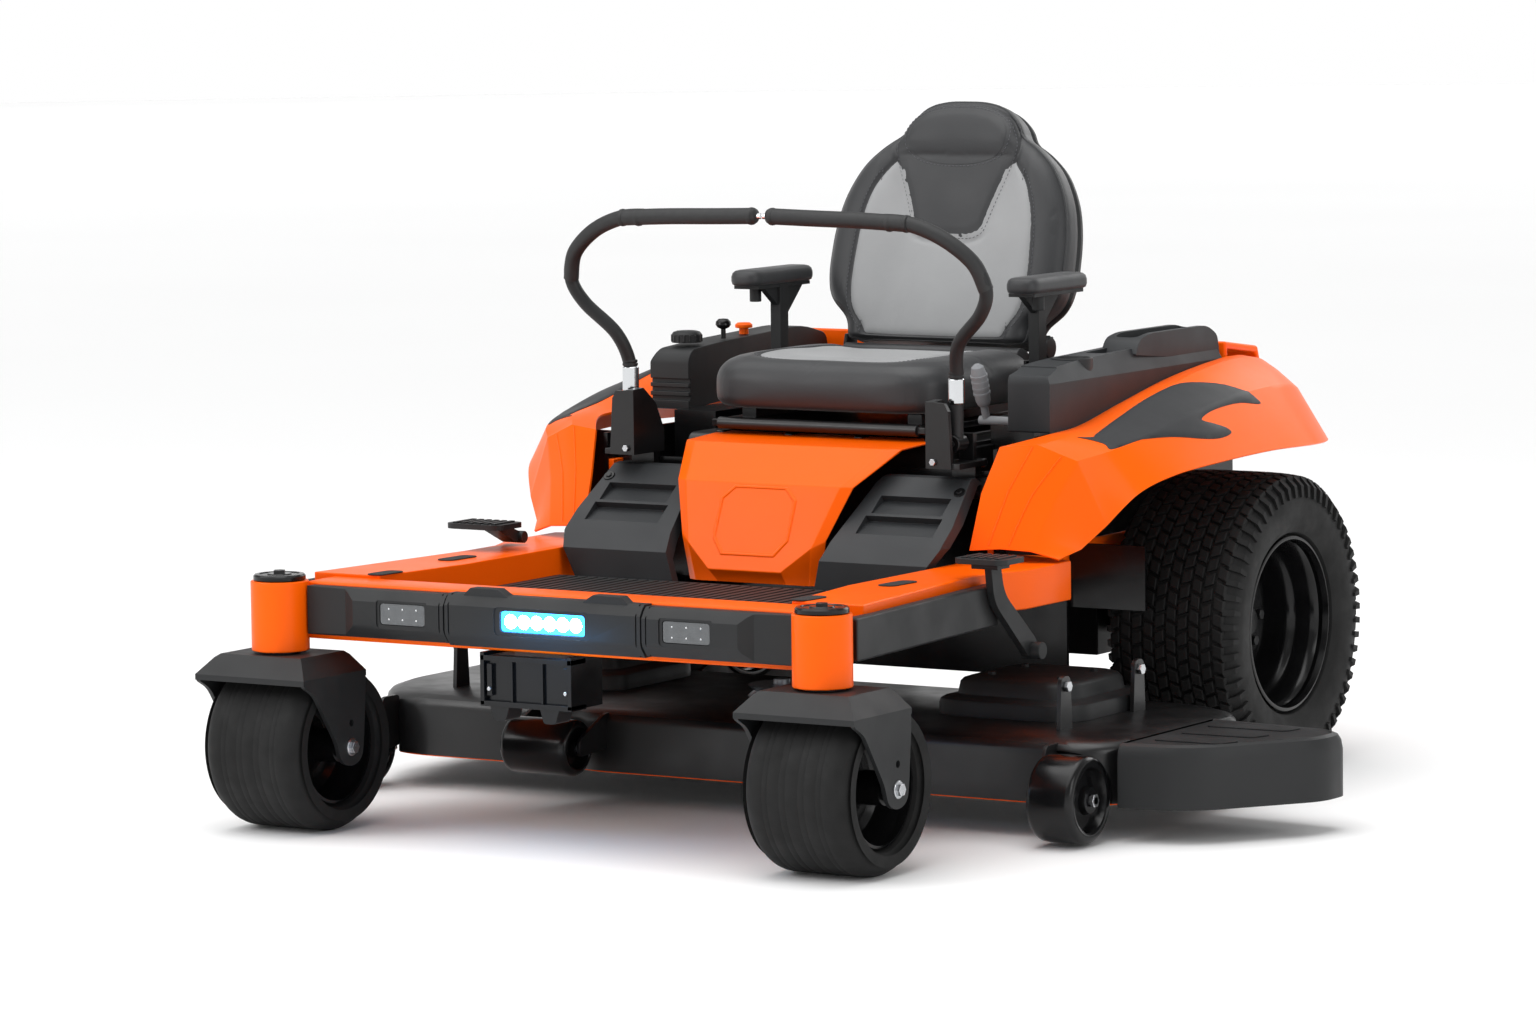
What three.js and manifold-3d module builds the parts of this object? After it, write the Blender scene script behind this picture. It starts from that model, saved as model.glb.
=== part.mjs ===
// A zero turn mower: two free casters in front, two driven wheels behind, a twin-lever seat between them
// and a three-blade cutting deck slung under the frame. Millimetres, +Z up, the front faces -Y and the
// operator's left hand is at +X. Inside the model the origin lies on the ground under the rear axle, and
// the exported group moves it to the middle of the whole machine's footprint.
import * as THREE from "three";
import { mergeVertices } from "three/addons/utils/BufferGeometryUtils.js";
import Module from "manifold-3d";

const wasm = await Module();
wasm.setup();

// ---- driving dimensions ------------------------------------------------------------------------
const GAP = 0.5; // between pieces that meet face to face
const RUN = 4; // between pieces that pass each other when they move

// rear wheels
const REAR_RADIUS = 275;
const REAR_WIDTH = 262;
const REAR_RIM = 160;
const REAR_TRACK = 1150; // between the middles of the two tyres

// casters
const WHEELBASE = 1409; // from the rear axle to the swivel posts
const POST_SPACING = 1100;
const TRAIL = 43;
const CASTER_RADIUS = 148;
const CASTER_WIDTH = 208;
const CASTER_RIM = 100;
const AXLE_RADIUS = 10;
const AXLE_PLAY = 1.5;
const FORK_PLATE = 8;
const POST_RADIUS = 50.5;
const POST_BORE = 30;
const POST_HEIGHT = 122;
const SPINDLE_RADIUS = 24;

// frame and body; their heights are measured with the rail's top at RAIL_TOP, and the whole of it then
// rises or falls with the caster posts
const RAIL_TOP = 440;
const RAIL_DEPTH = 70;
const BEAM_DROP = 105; // from the rail's top to the cross beam's underside
const BEAM_DEPTH = 85;
const RAIL_INNER = 390;
const REAR_END = 480; // rear face of the rear guard
const PLATE = 12;

// body panels
const SKIN = 4;
const BUMPER_SPLIT = 200; // half the middle section's width
const STEP_OUTER = 400;
const TANK_INNER = 385;
const TANK_OUTER = 470;
const TANK_TOP = 775;
const FENDER_OUTER = 700;

// cutting deck
const DECK_HALF = 800;
const DECK_FRONT = -885;
const DECK_REAR = -340;
const DECK_LOW = 60;
const DECK_TOP = 170;
const DECK_WALL = 6;
const DEFLECTOR_REACH = 280;
const DECK_LIFT = 80;
const SPINDLE_SPACING = 500;
const SPINDLE_Y = -600;
const SPINDLE_STAGGER = 50;
const BLADE_LENGTH = 498;
const BLADE_Z = 84;
const PULLEY_RADIUS = 62;
const COVER_HEIGHT = 65;
const ROLLER_RADIUS = 75;
const ROLLER_WIDTH = 90;

// seat and controls
const SEAT_HALF = 250;
const SEAT_FRONT = -530;
const SEAT_REAR = -90;
const SEAT_LOW = 677;
const SEAT_THICK = 104;
const BACK_HEIGHT = 464;
const BACK_THICK = 105;
const BACK_RAKE = 16; // degrees from upright
const ARM_X = SEAT_HALF + 44;
const LEVER_X = 342;
const LEVER_Y = -607;
const LEVER_RADIUS = 12.5;
const GRIP_RADIUS = 15;
const LEVER_GAP = 16; // between the two grips

const CENTRE_SPINDLE_Y = SPINDLE_Y - SPINDLE_STAGGER;
const POST_X = POST_SPACING / 2;
const POST_Y = -WHEELBASE;
const FORK_TOP = CASTER_RADIUS * 2 + 16;
const POST_LOW = FORK_TOP + RUN;
const POST_TOP = POST_LOW + POST_HEIGHT;
const BEAM_FRONT = POST_Y + 30;
const BEAM_REAR = BEAM_FRONT + BEAM_DEPTH;
const FRAME_RISE = POST_TOP + 2 - RAIL_TOP;
const BEAM_LOW = POST_TOP + 2 - BEAM_DROP;
const BATTERY_TOP = RAIL_TOP - BEAM_DROP - GAP;
const FLOOR_TOP = RAIL_TOP - 44;
const REAR_X = REAR_TRACK / 2;

// ---- materials ---------------------------------------------------------------------------------
const finish = (color, roughness, metalness = 0) =>
  new THREE.MeshStandardMaterial({ color, roughness, metalness });
const orange = finish("#ff6408", 0.35);
const blackPlastic = finish("#2b2c2e", 0.6);
const greyPlastic = finish("#3a3c3e", 0.6);
const blackSteel = finish("#141416", 0.3, 0.4);
const rubber = finish("#1c1c1d", 0.85);
const vinyl = finish("#2e2f31", 0.6);
const steel = finish("#b9bcc0", 0.3, 1);
const lens = finish("#c8ccd0", 0.15);
const paleGrip = finish("#77797b", 0.6);

// ---- solids ------------------------------------------------------------------------------------
function solidOf(geometry) {
  const bare = geometry.index ? geometry.toNonIndexed() : geometry.clone();
  bare.deleteAttribute("normal");
  bare.deleteAttribute("uv");
  const merged = mergeVertices(bare, 1e-3);
  return new wasm.Manifold(
    new wasm.Mesh({
      numProp: 3,
      vertProperties: merged.attributes.position.array,
      triVerts: new Uint32Array(merged.index.array),
    }),
  );
}

function geometryOf(solid) {
  const mesh = solid.getMesh();
  const geometry = new THREE.BufferGeometry();
  geometry.setAttribute("position", new THREE.BufferAttribute(mesh.vertProperties, 3));
  geometry.setIndex(new THREE.BufferAttribute(mesh.triVerts, 1));
  return geometry;
}

const join = (first, ...rest) =>
  geometryOf(rest.reduce((sum, g) => sum.add(solidOf(g)), solidOf(first)));
const cut = (first, ...rest) =>
  geometryOf(rest.reduce((sum, g) => sum.subtract(solidOf(g)), solidOf(first)));
const common = (first, ...rest) =>
  geometryOf(rest.reduce((sum, g) => sum.intersect(solidOf(g)), solidOf(first)));

function box([x0, x1], [y0, y1], [z0, z1]) {
  const geometry = new THREE.BoxGeometry(Math.abs(x1 - x0), Math.abs(y1 - y0), Math.abs(z1 - z0));
  return geometry.translate((x0 + x1) / 2, (y0 + y1) / 2, (z0 + z1) / 2);
}

const outline = (points) => new THREE.Shape(points.map(([u, v]) => new THREE.Vector2(u, v)));
const extrude = (points, depth) =>
  new THREE.ExtrudeGeometry(outline(points), { depth, bevelEnabled: false });

// A plan outline (x, y) between two heights.
const standing = (points, z0, z1) => extrude(points, z1 - z0).translate(0, 0, z0);

// A side outline (y, z) between two widths.
function sideways(points, x0, x1) {
  const turned = new THREE.Matrix4().makeBasis(
    new THREE.Vector3(0, 1, 0),
    new THREE.Vector3(0, 0, 1),
    new THREE.Vector3(1, 0, 0),
  );
  const [low, high] = [Math.min(x0, x1), Math.max(x0, x1)];
  return extrude(points, high - low).applyMatrix4(turned).translate(low, 0, 0);
}

// A front outline (x, z) between two depths.
const facing = (points, y0, y1) =>
  extrude(points, y1 - y0).rotateX(Math.PI / 2).translate(0, y1, 0);

// A turned piece: profile points are (radius, distance along the axis).
function turned(profile, segments, axis, centre) {
  const area = profile.reduce((sum, [r, a], i) => {
    const [r2, a2] = profile[(i + 1) % profile.length];
    return sum + r * a2 - r2 * a;
  }, 0);
  const ordered = area < 0 ? [...profile].reverse() : profile;
  const onAxis = ordered.some(([r]) => r === 0);
  let loop = [...ordered, ordered[0]];
  if (onAxis) {
    const last = ordered.findIndex(([r], i) => r === 0 && ordered[(i + 1) % ordered.length][0] > 0);
    loop = [...ordered.slice(last), ...ordered.slice(0, last)];
  }
  const geometry = new THREE.LatheGeometry(
    loop.map(([r, a]) => new THREE.Vector2(r, a)),
    segments,
  );
  if (axis === "x") geometry.rotateZ(-Math.PI / 2);
  if (axis === "z") geometry.rotateX(Math.PI / 2);
  return geometry.translate(...centre);
}

const rod = (axis, radius, from, to, centre, segments = 16) =>
  turned([[0, from], [radius, from], [radius, to], [0, to]], segments, axis, centre);

// A round bar along a smooth line through points.
function bar(points, radius, steps, sides = 10) {
  const path = new THREE.CatmullRomCurve3(points.map((p) => new THREE.Vector3(...p)));
  const ring = Array.from({ length: sides }, (_, i) => {
    const turn = (i / sides) * 2 * Math.PI;
    return [radius * Math.cos(turn), radius * Math.sin(turn)];
  });
  return new THREE.ExtrudeGeometry(outline(ring), {
    steps,
    extrudePath: path,
    bevelEnabled: false,
  });
}

// A curved sheet through rows of points, given thickness away from its outer side.
function sheet(rows, thickness, flip) {
  const count = rows[0].length;
  const at = (i, j) => new THREE.Vector3(...rows[i][j]);
  const normals = rows.map((row, i) =>
    row.map((_, j) => {
      const along = at(Math.min(i + 1, rows.length - 1), j).sub(at(Math.max(i - 1, 0), j));
      const across = at(i, Math.min(j + 1, count - 1)).sub(at(i, Math.max(j - 1, 0)));
      return along.cross(across).normalize().multiplyScalar(flip);
    }),
  );
  const position = [];
  rows.forEach((row, i) => row.forEach((_, j) => position.push(...at(i, j))));
  rows.forEach((row, i) =>
    row.forEach((_, j) => position.push(...at(i, j).addScaledVector(normals[i][j], -thickness))),
  );
  const inner = rows.length * count;
  const index = [];
  const quad = (a, b, c, d) => index.push(a, b, c, a, c, d);
  for (let i = 0; i + 1 < rows.length; i += 1) {
    for (let j = 0; j + 1 < count; j += 1) {
      const a = i * count + j;
      quad(a, a + count, a + count + 1, a + 1);
      quad(inner + a, inner + a + 1, inner + a + count + 1, inner + a + count);
    }
  }
  const edge = [];
  for (let j = 0; j < count; j += 1) edge.push(j);
  for (let i = 1; i < rows.length; i += 1) edge.push(i * count + count - 1);
  for (let j = count - 2; j >= 0; j -= 1) edge.push((rows.length - 1) * count + j);
  for (let i = rows.length - 2; i > 0; i -= 1) edge.push(i * count);
  edge.forEach((a, k) => {
    const b = edge[(k + 1) % edge.length];
    quad(a, b, inner + b, inner + a);
  });
  const geometry = new THREE.BufferGeometry();
  geometry.setAttribute("position", new THREE.Float32BufferAttribute(position, 3));
  geometry.setIndex(flip > 0 ? index : index.reverse());
  return geometry;
}

const mirror = (points, side) => points.map(([x, ...rest]) => [x * side, ...rest]);
const hand = (side) => (side > 0 ? "left" : "right");

const mower = new THREE.Group();
const chassis = new THREE.Group();
chassis.position.z = FRAME_RISE;
mower.add(chassis);

function place(group, name, geometry, material, position = [0, 0, 0]) {
  const mesh = new THREE.Mesh(geometry, material);
  mesh.name = name;
  mesh.position.set(...position);
  group.add(mesh);
}
const add = (...piece) => place(chassis, ...piece);
const addLow = (...piece) => place(mower, ...piece);

// ---- frame -------------------------------------------------------------------------------------
function frontBeam() {
  const posts = [1, -1].map((side) =>
    turned(
      [[POST_BORE, POST_LOW], [POST_RADIUS, POST_LOW], [POST_RADIUS, POST_TOP], [POST_BORE, POST_TOP]],
      24,
      "z",
      [side * POST_X, POST_Y, 0],
    ),
  );
  const beam = box(
    [-(POST_X - POST_BORE - 8), POST_X - POST_BORE - 8],
    [BEAM_FRONT, BEAM_REAR],
    [BEAM_LOW, POST_TOP - 3],
  );
  const bores = [1, -1].map((side) =>
    rod("z", POST_BORE, BEAM_LOW - 30, POST_TOP + 10, [side * POST_X, POST_Y, 0], 24),
  );
  addLow("front_beam", cut(join(beam, ...posts), ...bores), orange);
}

const PIVOT_Y = -565;
const PIVOT_Z = 560;
const PIVOT_RADIUS = 10;

function rail(side) {
  const plan = [
    [RAIL_INNER + 30, BEAM_REAR + GAP],
    [POST_X + 10, BEAM_REAR + GAP],
    [516, -900],
    [516, -800],
    [545, -720],
    [545, -560],
    [400, -510],
    [400, REAR_END - 100],
    [330, REAR_END - 100],
    [330, -560],
    [RAIL_INNER, -700],
    [RAIL_INNER, -1076],
  ];
  const beam = standing(mirror(plan, side), RAIL_TOP - RAIL_DEPTH, RAIL_TOP);
  const inner = RAIL_INNER + 2;
  const pedestal = box(
    [side * inner, side * (inner + PLATE)],
    [PIVOT_Y - 26, PIVOT_Y + 30],
    [RAIL_TOP - 10, PIVOT_Z + 24],
  );
  const reach = [side * (LEVER_X - 32), side * (inner + 4)];
  const pin = rod("x", PIVOT_RADIUS, Math.min(...reach), Math.max(...reach), [0, PIVOT_Y, PIVOT_Z]);
  add(`rail_${hand(side)}`, join(beam, pedestal, pin), orange);
}

function rearFrame() {
  const wide = 330 - GAP;
  const deck = box([-wide, wide], [-60, REAR_END - 100], [380, 392]);
  const struts = [1, -1].map((side) =>
    box([side * 290, side * 320], [REAR_END - 110, REAR_END - 20], [384, 470]),
  );
  const guard = standing(
    [
      [-380, REAR_END - 60],
      [-330, REAR_END],
      [330, REAR_END],
      [380, REAR_END - 60],
      [350, REAR_END - 60],
      [320, REAR_END - 25],
      [-320, REAR_END - 25],
      [-350, REAR_END - 60],
    ],
    400,
    470,
  );
  add("rear_guard", join(deck, guard, ...struts), blackSteel);
}

// ---- front bumper and lamps --------------------------------------------------------------------
const BUMPER_FRONT = POST_Y - 8;
const BUMPER_BACK = BEAM_FRONT - GAP;
const LAMP_Z = 391;
const LAMP_HALF = [47, 19];
const BAR_HALF = [86, 18];
const LAMP_X = 288;
const LENS_DEPTH = 9;

function bumperSection(name, plan, low, high, lamp) {
  const body = standing(plan, low, high);
  const side = [
    [BUMPER_BACK, low],
    [BUMPER_FRONT + 14, low],
    [BUMPER_FRONT, low + 22],
    [BUMPER_FRONT, high - 14],
    [BUMPER_FRONT + 12, high],
    [BUMPER_BACK, high],
  ];
  const shaped = common(body, sideways(side, -POST_X, POST_X));
  const pocket = box(
    [lamp.x - lamp.half[0], lamp.x + lamp.half[0]],
    [BUMPER_FRONT - 5, BUMPER_FRONT + LENS_DEPTH + 3],
    [LAMP_Z - lamp.half[1], LAMP_Z + lamp.half[1]],
  );
  add(name, cut(shaped, pocket), blackPlastic);
}

function lampLens(name, lamp) {
  const clear = 1;
  const body = box(
    [lamp.x - lamp.half[0] + clear, lamp.x + lamp.half[0] - clear],
    [BUMPER_FRONT + 2, BUMPER_FRONT + LENS_DEPTH + 3 - GAP],
    [LAMP_Z - lamp.half[1] + clear, LAMP_Z + lamp.half[1] - clear],
  );
  add(name, body, lens);
}

function bumper() {
  const middle = BUMPER_SPLIT - 1.5;
  const centrePlan = [
    [-middle, BUMPER_BACK],
    [-middle, BUMPER_FRONT],
    [middle, BUMPER_FRONT],
    [middle, BUMPER_BACK],
  ];
  const bar = { x: 0, half: BAR_HALF };
  bumperSection("bumper_centre", centrePlan, 343, 433, bar);
  lampLens("light_bar", bar);
  [1, -1].forEach((side) => {
    const end = POST_X - POST_RADIUS - 3;
    const plan = [
      [BUMPER_SPLIT + 1.5, BUMPER_BACK],
      [BUMPER_SPLIT + 1.5, BUMPER_FRONT],
      [LAMP_X + 85, BUMPER_FRONT],
      [LAMP_X + 112, BUMPER_FRONT + 14],
      [end, BUMPER_FRONT + 14],
      [end, BUMPER_BACK],
    ];
    const lamp = { x: side * LAMP_X, half: LAMP_HALF };
    bumperSection(`bumper_${hand(side)}`, mirror(plan, side), 346, 430, lamp);
    lampLens(`headlamp_${hand(side)}`, lamp);
  });
}

function railCover(side) {
  const front = POST_Y + POST_RADIUS + 6;
  const plan = [
    [POST_X + 12, front + 2],
    [POST_X + 40, front - 12],
    [POST_X + 37, front + 20],
    [547, -821],
    [521, -821],
    [POST_X + 13, BEAM_REAR + 10],
  ];
  add(
    `rail_cover_${hand(side)}`,
    standing(mirror(plan, side), RAIL_TOP - 87, RAIL_TOP - 14),
    blackPlastic,
  );
}

// ---- floor, cowl and step panels ---------------------------------------------------------------
const COWL_FOOT = -746;

function floorPan() {
  const half = RAIL_INNER - 3;
  const plan = [
    [-half, -1072],
    [-half - 26, BEAM_REAR + 3],
    [half + 26, BEAM_REAR + 3],
    [half, -1072],
    [half, -784],
    [-half, -784],
  ];
  add("floor_pan", standing(plan, FLOOR_TOP - PLATE, FLOOR_TOP), rubber);
}

// A folded sheet: the outer line and the same line set back by the skin.
const folded = (line, back) => [...line, ...line.map(([y, z]) => [y + back, z - back / 2]).reverse()];

// Half the cowl's width: it widens slowly up to the shoulder and then flares to the top edge.
const SHOULDER_Z = 570;
const cowlEdge = (z) => 142 + (z - 391) * 0.24 + Math.max(0, z - SHOULDER_Z) * 0.5;

function cowl() {
  const line = [
    [COWL_FOOT, 391],
    [COWL_FOOT - 22, 428],
    [COWL_FOOT + 32, 552],
    [COWL_FOOT + 133, 627],
    [-470, 634],
  ];
  const bent = sideways(folded(line, SKIN + 2), -240, 240);
  const front = facing(
    [
      [-cowlEdge(391) + 18, 380],
      [-cowlEdge(410), 410],
      [-cowlEdge(SHOULDER_Z), SHOULDER_Z],
      [-cowlEdge(630), 630],
      [-cowlEdge(630), 660],
      [cowlEdge(630), 660],
      [cowlEdge(630), 630],
      [cowlEdge(SHOULDER_Z), SHOULDER_Z],
      [cowlEdge(410), 410],
      [cowlEdge(391) - 18, 380],
    ],
    -800,
    -400,
  );
  add("cowl", common(bent, front), orange);
}

function stepPanel(side) {
  const line = [
    [-778, 388],
    [-780, 442],
    [-752, 474],
    [-616, 580],
    [-598, 582],
  ];
  const bent = sideways(folded(line, SKIN + 2), side * 120, side * STEP_OUTER);
  const front = facing(
    mirror(
      [
        [cowlEdge(380) + 4, 380],
        [cowlEdge(SHOULDER_Z) + 4, SHOULDER_Z],
        [cowlEdge(600) + 4, 600],
        [STEP_OUTER - 26, 600],
        [STEP_OUTER - 6, 500],
        [STEP_OUTER - 6, 470],
        [STEP_OUTER - 50, 380],
      ],
      side,
    ),
    -800,
    -560,
  );
  add(`step_panel_${hand(side)}`, common(bent, front), greyPlastic);
}

// ---- fenders and tanks -------------------------------------------------------------------------
// Stations along the fender, front to rear: how far back its inner edge is, how much it slants back
// towards the outside, and its line across from the inner edge over the crest to the outer lip.
const FENDER_STATIONS = [
  { y: -675, slant: 0.39, across: [[405, 462], [455, 465], [505, 461], [552, 448]] },
  { y: -640, slant: 0.39, across: [[410, 560], [470, 566], [530, 545], [574, 462]] },
  { y: -600, slant: 0.3, across: [[425, 638], [490, 643], [558, 615], [608, 502]] },
  { y: -510, slant: 0.1, across: [[474, 655], [530, 656], [600, 632], [645, 556]] },
  { y: -400, slant: 0, across: [[474, 662], [535, 672], [620, 650], [668, 582]] },
  { y: -250, slant: 0, across: [[474, 690], [540, 706], [630, 678], [685, 594]] },
  { y: -80, slant: 0, across: [[474, 720], [540, 736], [630, 698], [695, 600]] },
  { y: 80, slant: 0, across: [[474, 738], [535, 748], [620, 702], [FENDER_OUTER, 598]] },
  { y: 200, slant: 0, across: [[474, 742], [530, 738], [600, 690], [665, 594]] },
  { y: 290, slant: 0, across: [[474, 700], [520, 690], [560, 660], [600, 600]] },
];

const LIP_OVER_TYRE = 44; // from the top of the tyre up to the fender's lip over it
const LOWEST_LIP = 594;

function fender(side) {
  // The front of the fender keeps to the frame, and the rear keeps clear of the tyre.
  const lift = 2 * REAR_RADIUS + LIP_OVER_TYRE - FRAME_RISE - LOWEST_LIP;
  const share = (y) => THREE.MathUtils.clamp((y + 600) / 300, 0, 1);
  const rows = FENDER_STATIONS.map(({ y, slant, across }) =>
    across.map(([x, z]) => [side * x, y + slant * (x - across[0][0]), z + lift * share(y)]),
  );
  add(`fender_${hand(side)}`, sheet(rows, SKIN, side), orange);
}

function tank(name, side, front) {
  const profile = [
    [front, 655],
    [front, TANK_TOP - 25],
    [front + 16, TANK_TOP - 8],
    [front + 120, TANK_TOP],
    [60, TANK_TOP + 12],
    [150, TANK_TOP - 10],
    [160, 690],
    [-100, 672],
  ];
  const body = sideways(profile, side * TANK_INNER, side * TANK_OUTER);
  const chamfer = facing(
    mirror(
      [
        [TANK_INNER - 1, 640],
        [TANK_INNER - 1, 800],
        [TANK_OUTER - 28, 800],
        [TANK_OUTER + 1, 740],
        [TANK_OUTER + 1, 640],
      ],
      side,
    ),
    front - 20,
    180,
  );
  const shaped = common(body, chamfer);
  const cup = rod("z", 34, TANK_TOP - 75, TANK_TOP + 40, [side * CUP_X, CUP_Y, 0], 20);
  add(name, side > 0 ? cut(shaped, cup) : shaped, greyPlastic);
}

const CUP_X = 426;
const CUP_Y = -340;
const HOOD_X = TANK_OUTER + GAP;

function rearHood() {
  const profile = [
    [168, 690],
    [168, 772],
    [300, 755],
    [340, 650],
    [340, 560],
    [330, 560],
    [330, 648],
    [292, 743],
    [180, 757],
    [180, 690],
  ];
  const wide = HOOD_X - 2;
  const mouth = box([-250, 250], [100, 316], [500, 800]);
  add("rear_hood", cut(sideways(profile, -wide, wide), mouth), orange);
}

// ---- engine and drive --------------------------------------------------------------------------
function engine() {
  const crankcase = box([-130, 130], [40, 280], [392 + GAP, 540]);
  const cylinders = [1, -1].map((side) =>
    rod("x", 62, 0, 205, [side > 0 ? 0 : -205, 160, 500], 16),
  );
  const shroud = turned(
    [[0, 530], [138, 530], [150, 560], [150, 640], [110, 690], [0, 690]],
    24,
    "z",
    [0, 160, 0],
  );
  const filter = box([-110, 110], [40, 135], [640, 715]);
  const muffler = rod("x", 48, -150, 150, [0, 345, 480], 16);
  const elbow = box([-30, 30], [270, 320], [450, 500]);
  add("engine", join(crankcase, ...cylinders, shroud, filter, elbow, muffler), blackSteel);
}

function driveAxle() {
  const hub = REAR_X - 34 - GAP;
  const top = Math.min(REAR_RADIUS + 93, 368 + FRAME_RISE);
  const housings = [1, -1].map((side) =>
    box([side * 150, side * 328], [-75, 95], [REAR_RADIUS - 70, top]),
  );
  const tube = rod("x", 32, -hub, hub, [0, 0, REAR_RADIUS], 16);
  const flanges = [1, -1].map((side) =>
    rod("x", 62, 0, 16, [side > 0 ? hub - 16 : -hub, 0, REAR_RADIUS], 20),
  );
  addLow("drive_axle", join(tube, ...housings, ...flanges), blackSteel);
}

function batteryBox() {
  const tray = box([-152, 42], [-1385, -1290], [240, BATTERY_TOP]);
  const ribs = [-0.5, 0.5].map((k) => box([k * 84 - 58, k * 84 - 52], [-1393, -1383], [246, 318]));
  const feet = [-110, -8].map((x) => box([x - 16, x + 16], [-1380, -1330], [214, 244]));
  add("battery_box", join(tray, ...ribs, ...feet), blackPlastic);
}

// ---- wheels ------------------------------------------------------------------------------------
// Half of the tyre's outline from the bead out to the middle of the tread; the other half mirrors it.
function tyreProfile(bead, half, radius, lip, shoulder) {
  const seat = half - 30;
  const upper = [
    [bead, seat],
    [lip + 3, seat],
    [lip + 8, half - 13],
    [(lip + radius) / 2 + 8, half],
    [radius - shoulder * 0.7, half - shoulder * 0.25],
    [radius - shoulder * 0.2, half - shoulder * 0.6],
    [radius, half - shoulder * 1.3],
  ];
  return [...upper, ...upper.map(([r, a]) => [r, -a]).reverse()];
}

function rimProfile(bead, half, lip, bore, hub) {
  const seat = half - 30;
  const inside = bead - 8;
  return [
    [bore, -hub.length],
    [hub.radius, -hub.length],
    [hub.radius, hub.disc - 10],
    [inside, hub.disc - 10],
    [inside, -seat - 4],
    [lip - 6, -seat - 12],
    [lip, -seat - 12],
    [lip, -seat - GAP],
    [bead - GAP, -seat - GAP],
    [bead - GAP, seat + GAP],
    [lip, seat + GAP],
    [lip, seat + 12],
    [lip - 6, seat + 12],
    [inside, seat + 4],
    [inside, hub.disc],
    [hub.radius, hub.disc],
    [hub.radius, hub.length],
    [bore, hub.length],
  ];
}

function rearWheel(side) {
  const centre = [side * REAR_X, 0, REAR_RADIUS];
  const bead = REAR_RIM - 9;
  const tyre = tyreProfile(bead, REAR_WIDTH / 2, REAR_RADIUS, REAR_RIM, 26);
  addLow(`rear_tyre_${hand(side)}`, turned(tyre, 30, "x", [0, 0, 0]), rubber, centre);
  const hub = { radius: 62, length: 34, disc: -side * 20 };
  const rim = rimProfile(bead, REAR_WIDTH / 2, REAR_RIM, 0, hub);
  addLow(`rear_rim_${hand(side)}`, turned(rim, 30, "x", [0, 0, 0]), blackSteel, centre);
}

function casterWheel(side) {
  const centre = [side * POST_X, POST_Y + TRAIL, CASTER_RADIUS];
  const bead = CASTER_RIM - 8;
  const tyre = tyreProfile(bead, CASTER_WIDTH / 2, CASTER_RADIUS, CASTER_RIM, 30);
  addLow(`caster_tyre_${hand(side)}`, turned(tyre, 26, "x", [0, 0, 0]), rubber, centre);
  const hub = { radius: 30, length: CASTER_WIDTH / 2 - 6, disc: 5 };
  const rim = rimProfile(bead, CASTER_WIDTH / 2, CASTER_RIM, AXLE_RADIUS + AXLE_PLAY, hub);
  addLow(`caster_rim_${hand(side)}`, turned(rim, 26, "x", [0, 0, 0]), blackSteel, centre);
}

function casterFork(side) {
  const inner = CASTER_WIDTH / 2 + RUN;
  const outer = inner + FORK_PLATE;
  const top = FORK_TOP;
  const under = top - 12;
  const corner = 32;
  const axleZ = CASTER_RADIUS;
  const arch = facing(
    [
      [-outer, axleZ - 40],
      [-outer, top - corner],
      [-outer + corner, top],
      [outer - corner, top],
      [outer, top - corner],
      [outer, axleZ - 40],
      [inner, axleZ - 40],
      [inner, under - 22],
      [inner - 20, under],
      [-inner + 20, under],
      [-inner, under - 22],
      [-inner, axleZ - 40],
    ],
    -86,
    90,
  );
  const end = Array.from({ length: 7 }, (_, i) => {
    const turn = Math.PI * (1.08 + (i / 6) * 0.84);
    return [TRAIL + 32 * Math.cos(turn), axleZ + 32 * Math.sin(turn)];
  });
  const cheeks = sideways(
    [[-86, top], [-86, top - 28], [-62, top - 44], ...end, [80, top - 60], [62, top]],
    -outer,
    outer,
  );
  const spindle = rod("z", SPINDLE_RADIUS, top - 6, POST_TOP + 6, [0, 0, 0], 20);
  const cap = rod("z", 45, POST_TOP + GAP, POST_TOP + 12, [0, 0, 0], 20);
  const nut = rod("z", 11, POST_TOP + 6, POST_TOP + 18, [0, 0, 0], 6);
  const axle = rod("x", AXLE_RADIUS, -outer - 10, outer + 10, [0, TRAIL, axleZ], 16);
  const fork = join(common(arch, cheeks), spindle, cap, nut, axle);
  addLow(`caster_fork_${hand(side)}`, fork, blackSteel, [side * POST_X, POST_Y, 0]);
}

// ---- cutting deck ------------------------------------------------------------------------------
function deckPlan(inset) {
  const half = DECK_HALF - inset;
  const front = DECK_FRONT + inset;
  const rear = DECK_REAR - inset;
  return [
    [-half, rear - 60],
    [-half, front + 130],
    [-half + 110, front],
    [-300, front],
    [-240, front - 27],
    [240, front - 27],
    [300, front],
    [half - 60, front],
    [half, front + 60],
    [half, rear - 60],
    [half - 90, rear],
    [-half + 90, rear],
  ];
}

const ROLLER_X = 742;
const ROLLER_Y = DECK_FRONT - 45;
const ROLLER_Z = 80;
const MIDDLE_ROLLER = { x: -285, y: DECK_FRONT - 100, z: 112, radius: 50, width: 140 };
const PIN = 8;
const HANGER_X = 628;
const HANGER_TOP = 262;

function rollerMount(roller, inboard) {
  const half = roller.width / 2;
  const sides = inboard ? [inboard] : [1, -1];
  const arms = sides.map((s) => {
    const x = roller.x + s * (half + 4);
    const arm = [
      [DECK_FRONT + 20, DECK_TOP - 4],
      [DECK_FRONT + 20, roller.z - 6],
      [roller.y - 14, roller.z - 14],
      [roller.y - 14, roller.z + 16],
      [DECK_FRONT - 30, DECK_TOP - 4],
    ];
    return sideways(arm, x, x + s * 7);
  });
  const pin = rod("x", PIN, -half - 9, half + 9, [roller.x, roller.y, roller.z], 12);
  return [...arms, pin];
}

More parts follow.
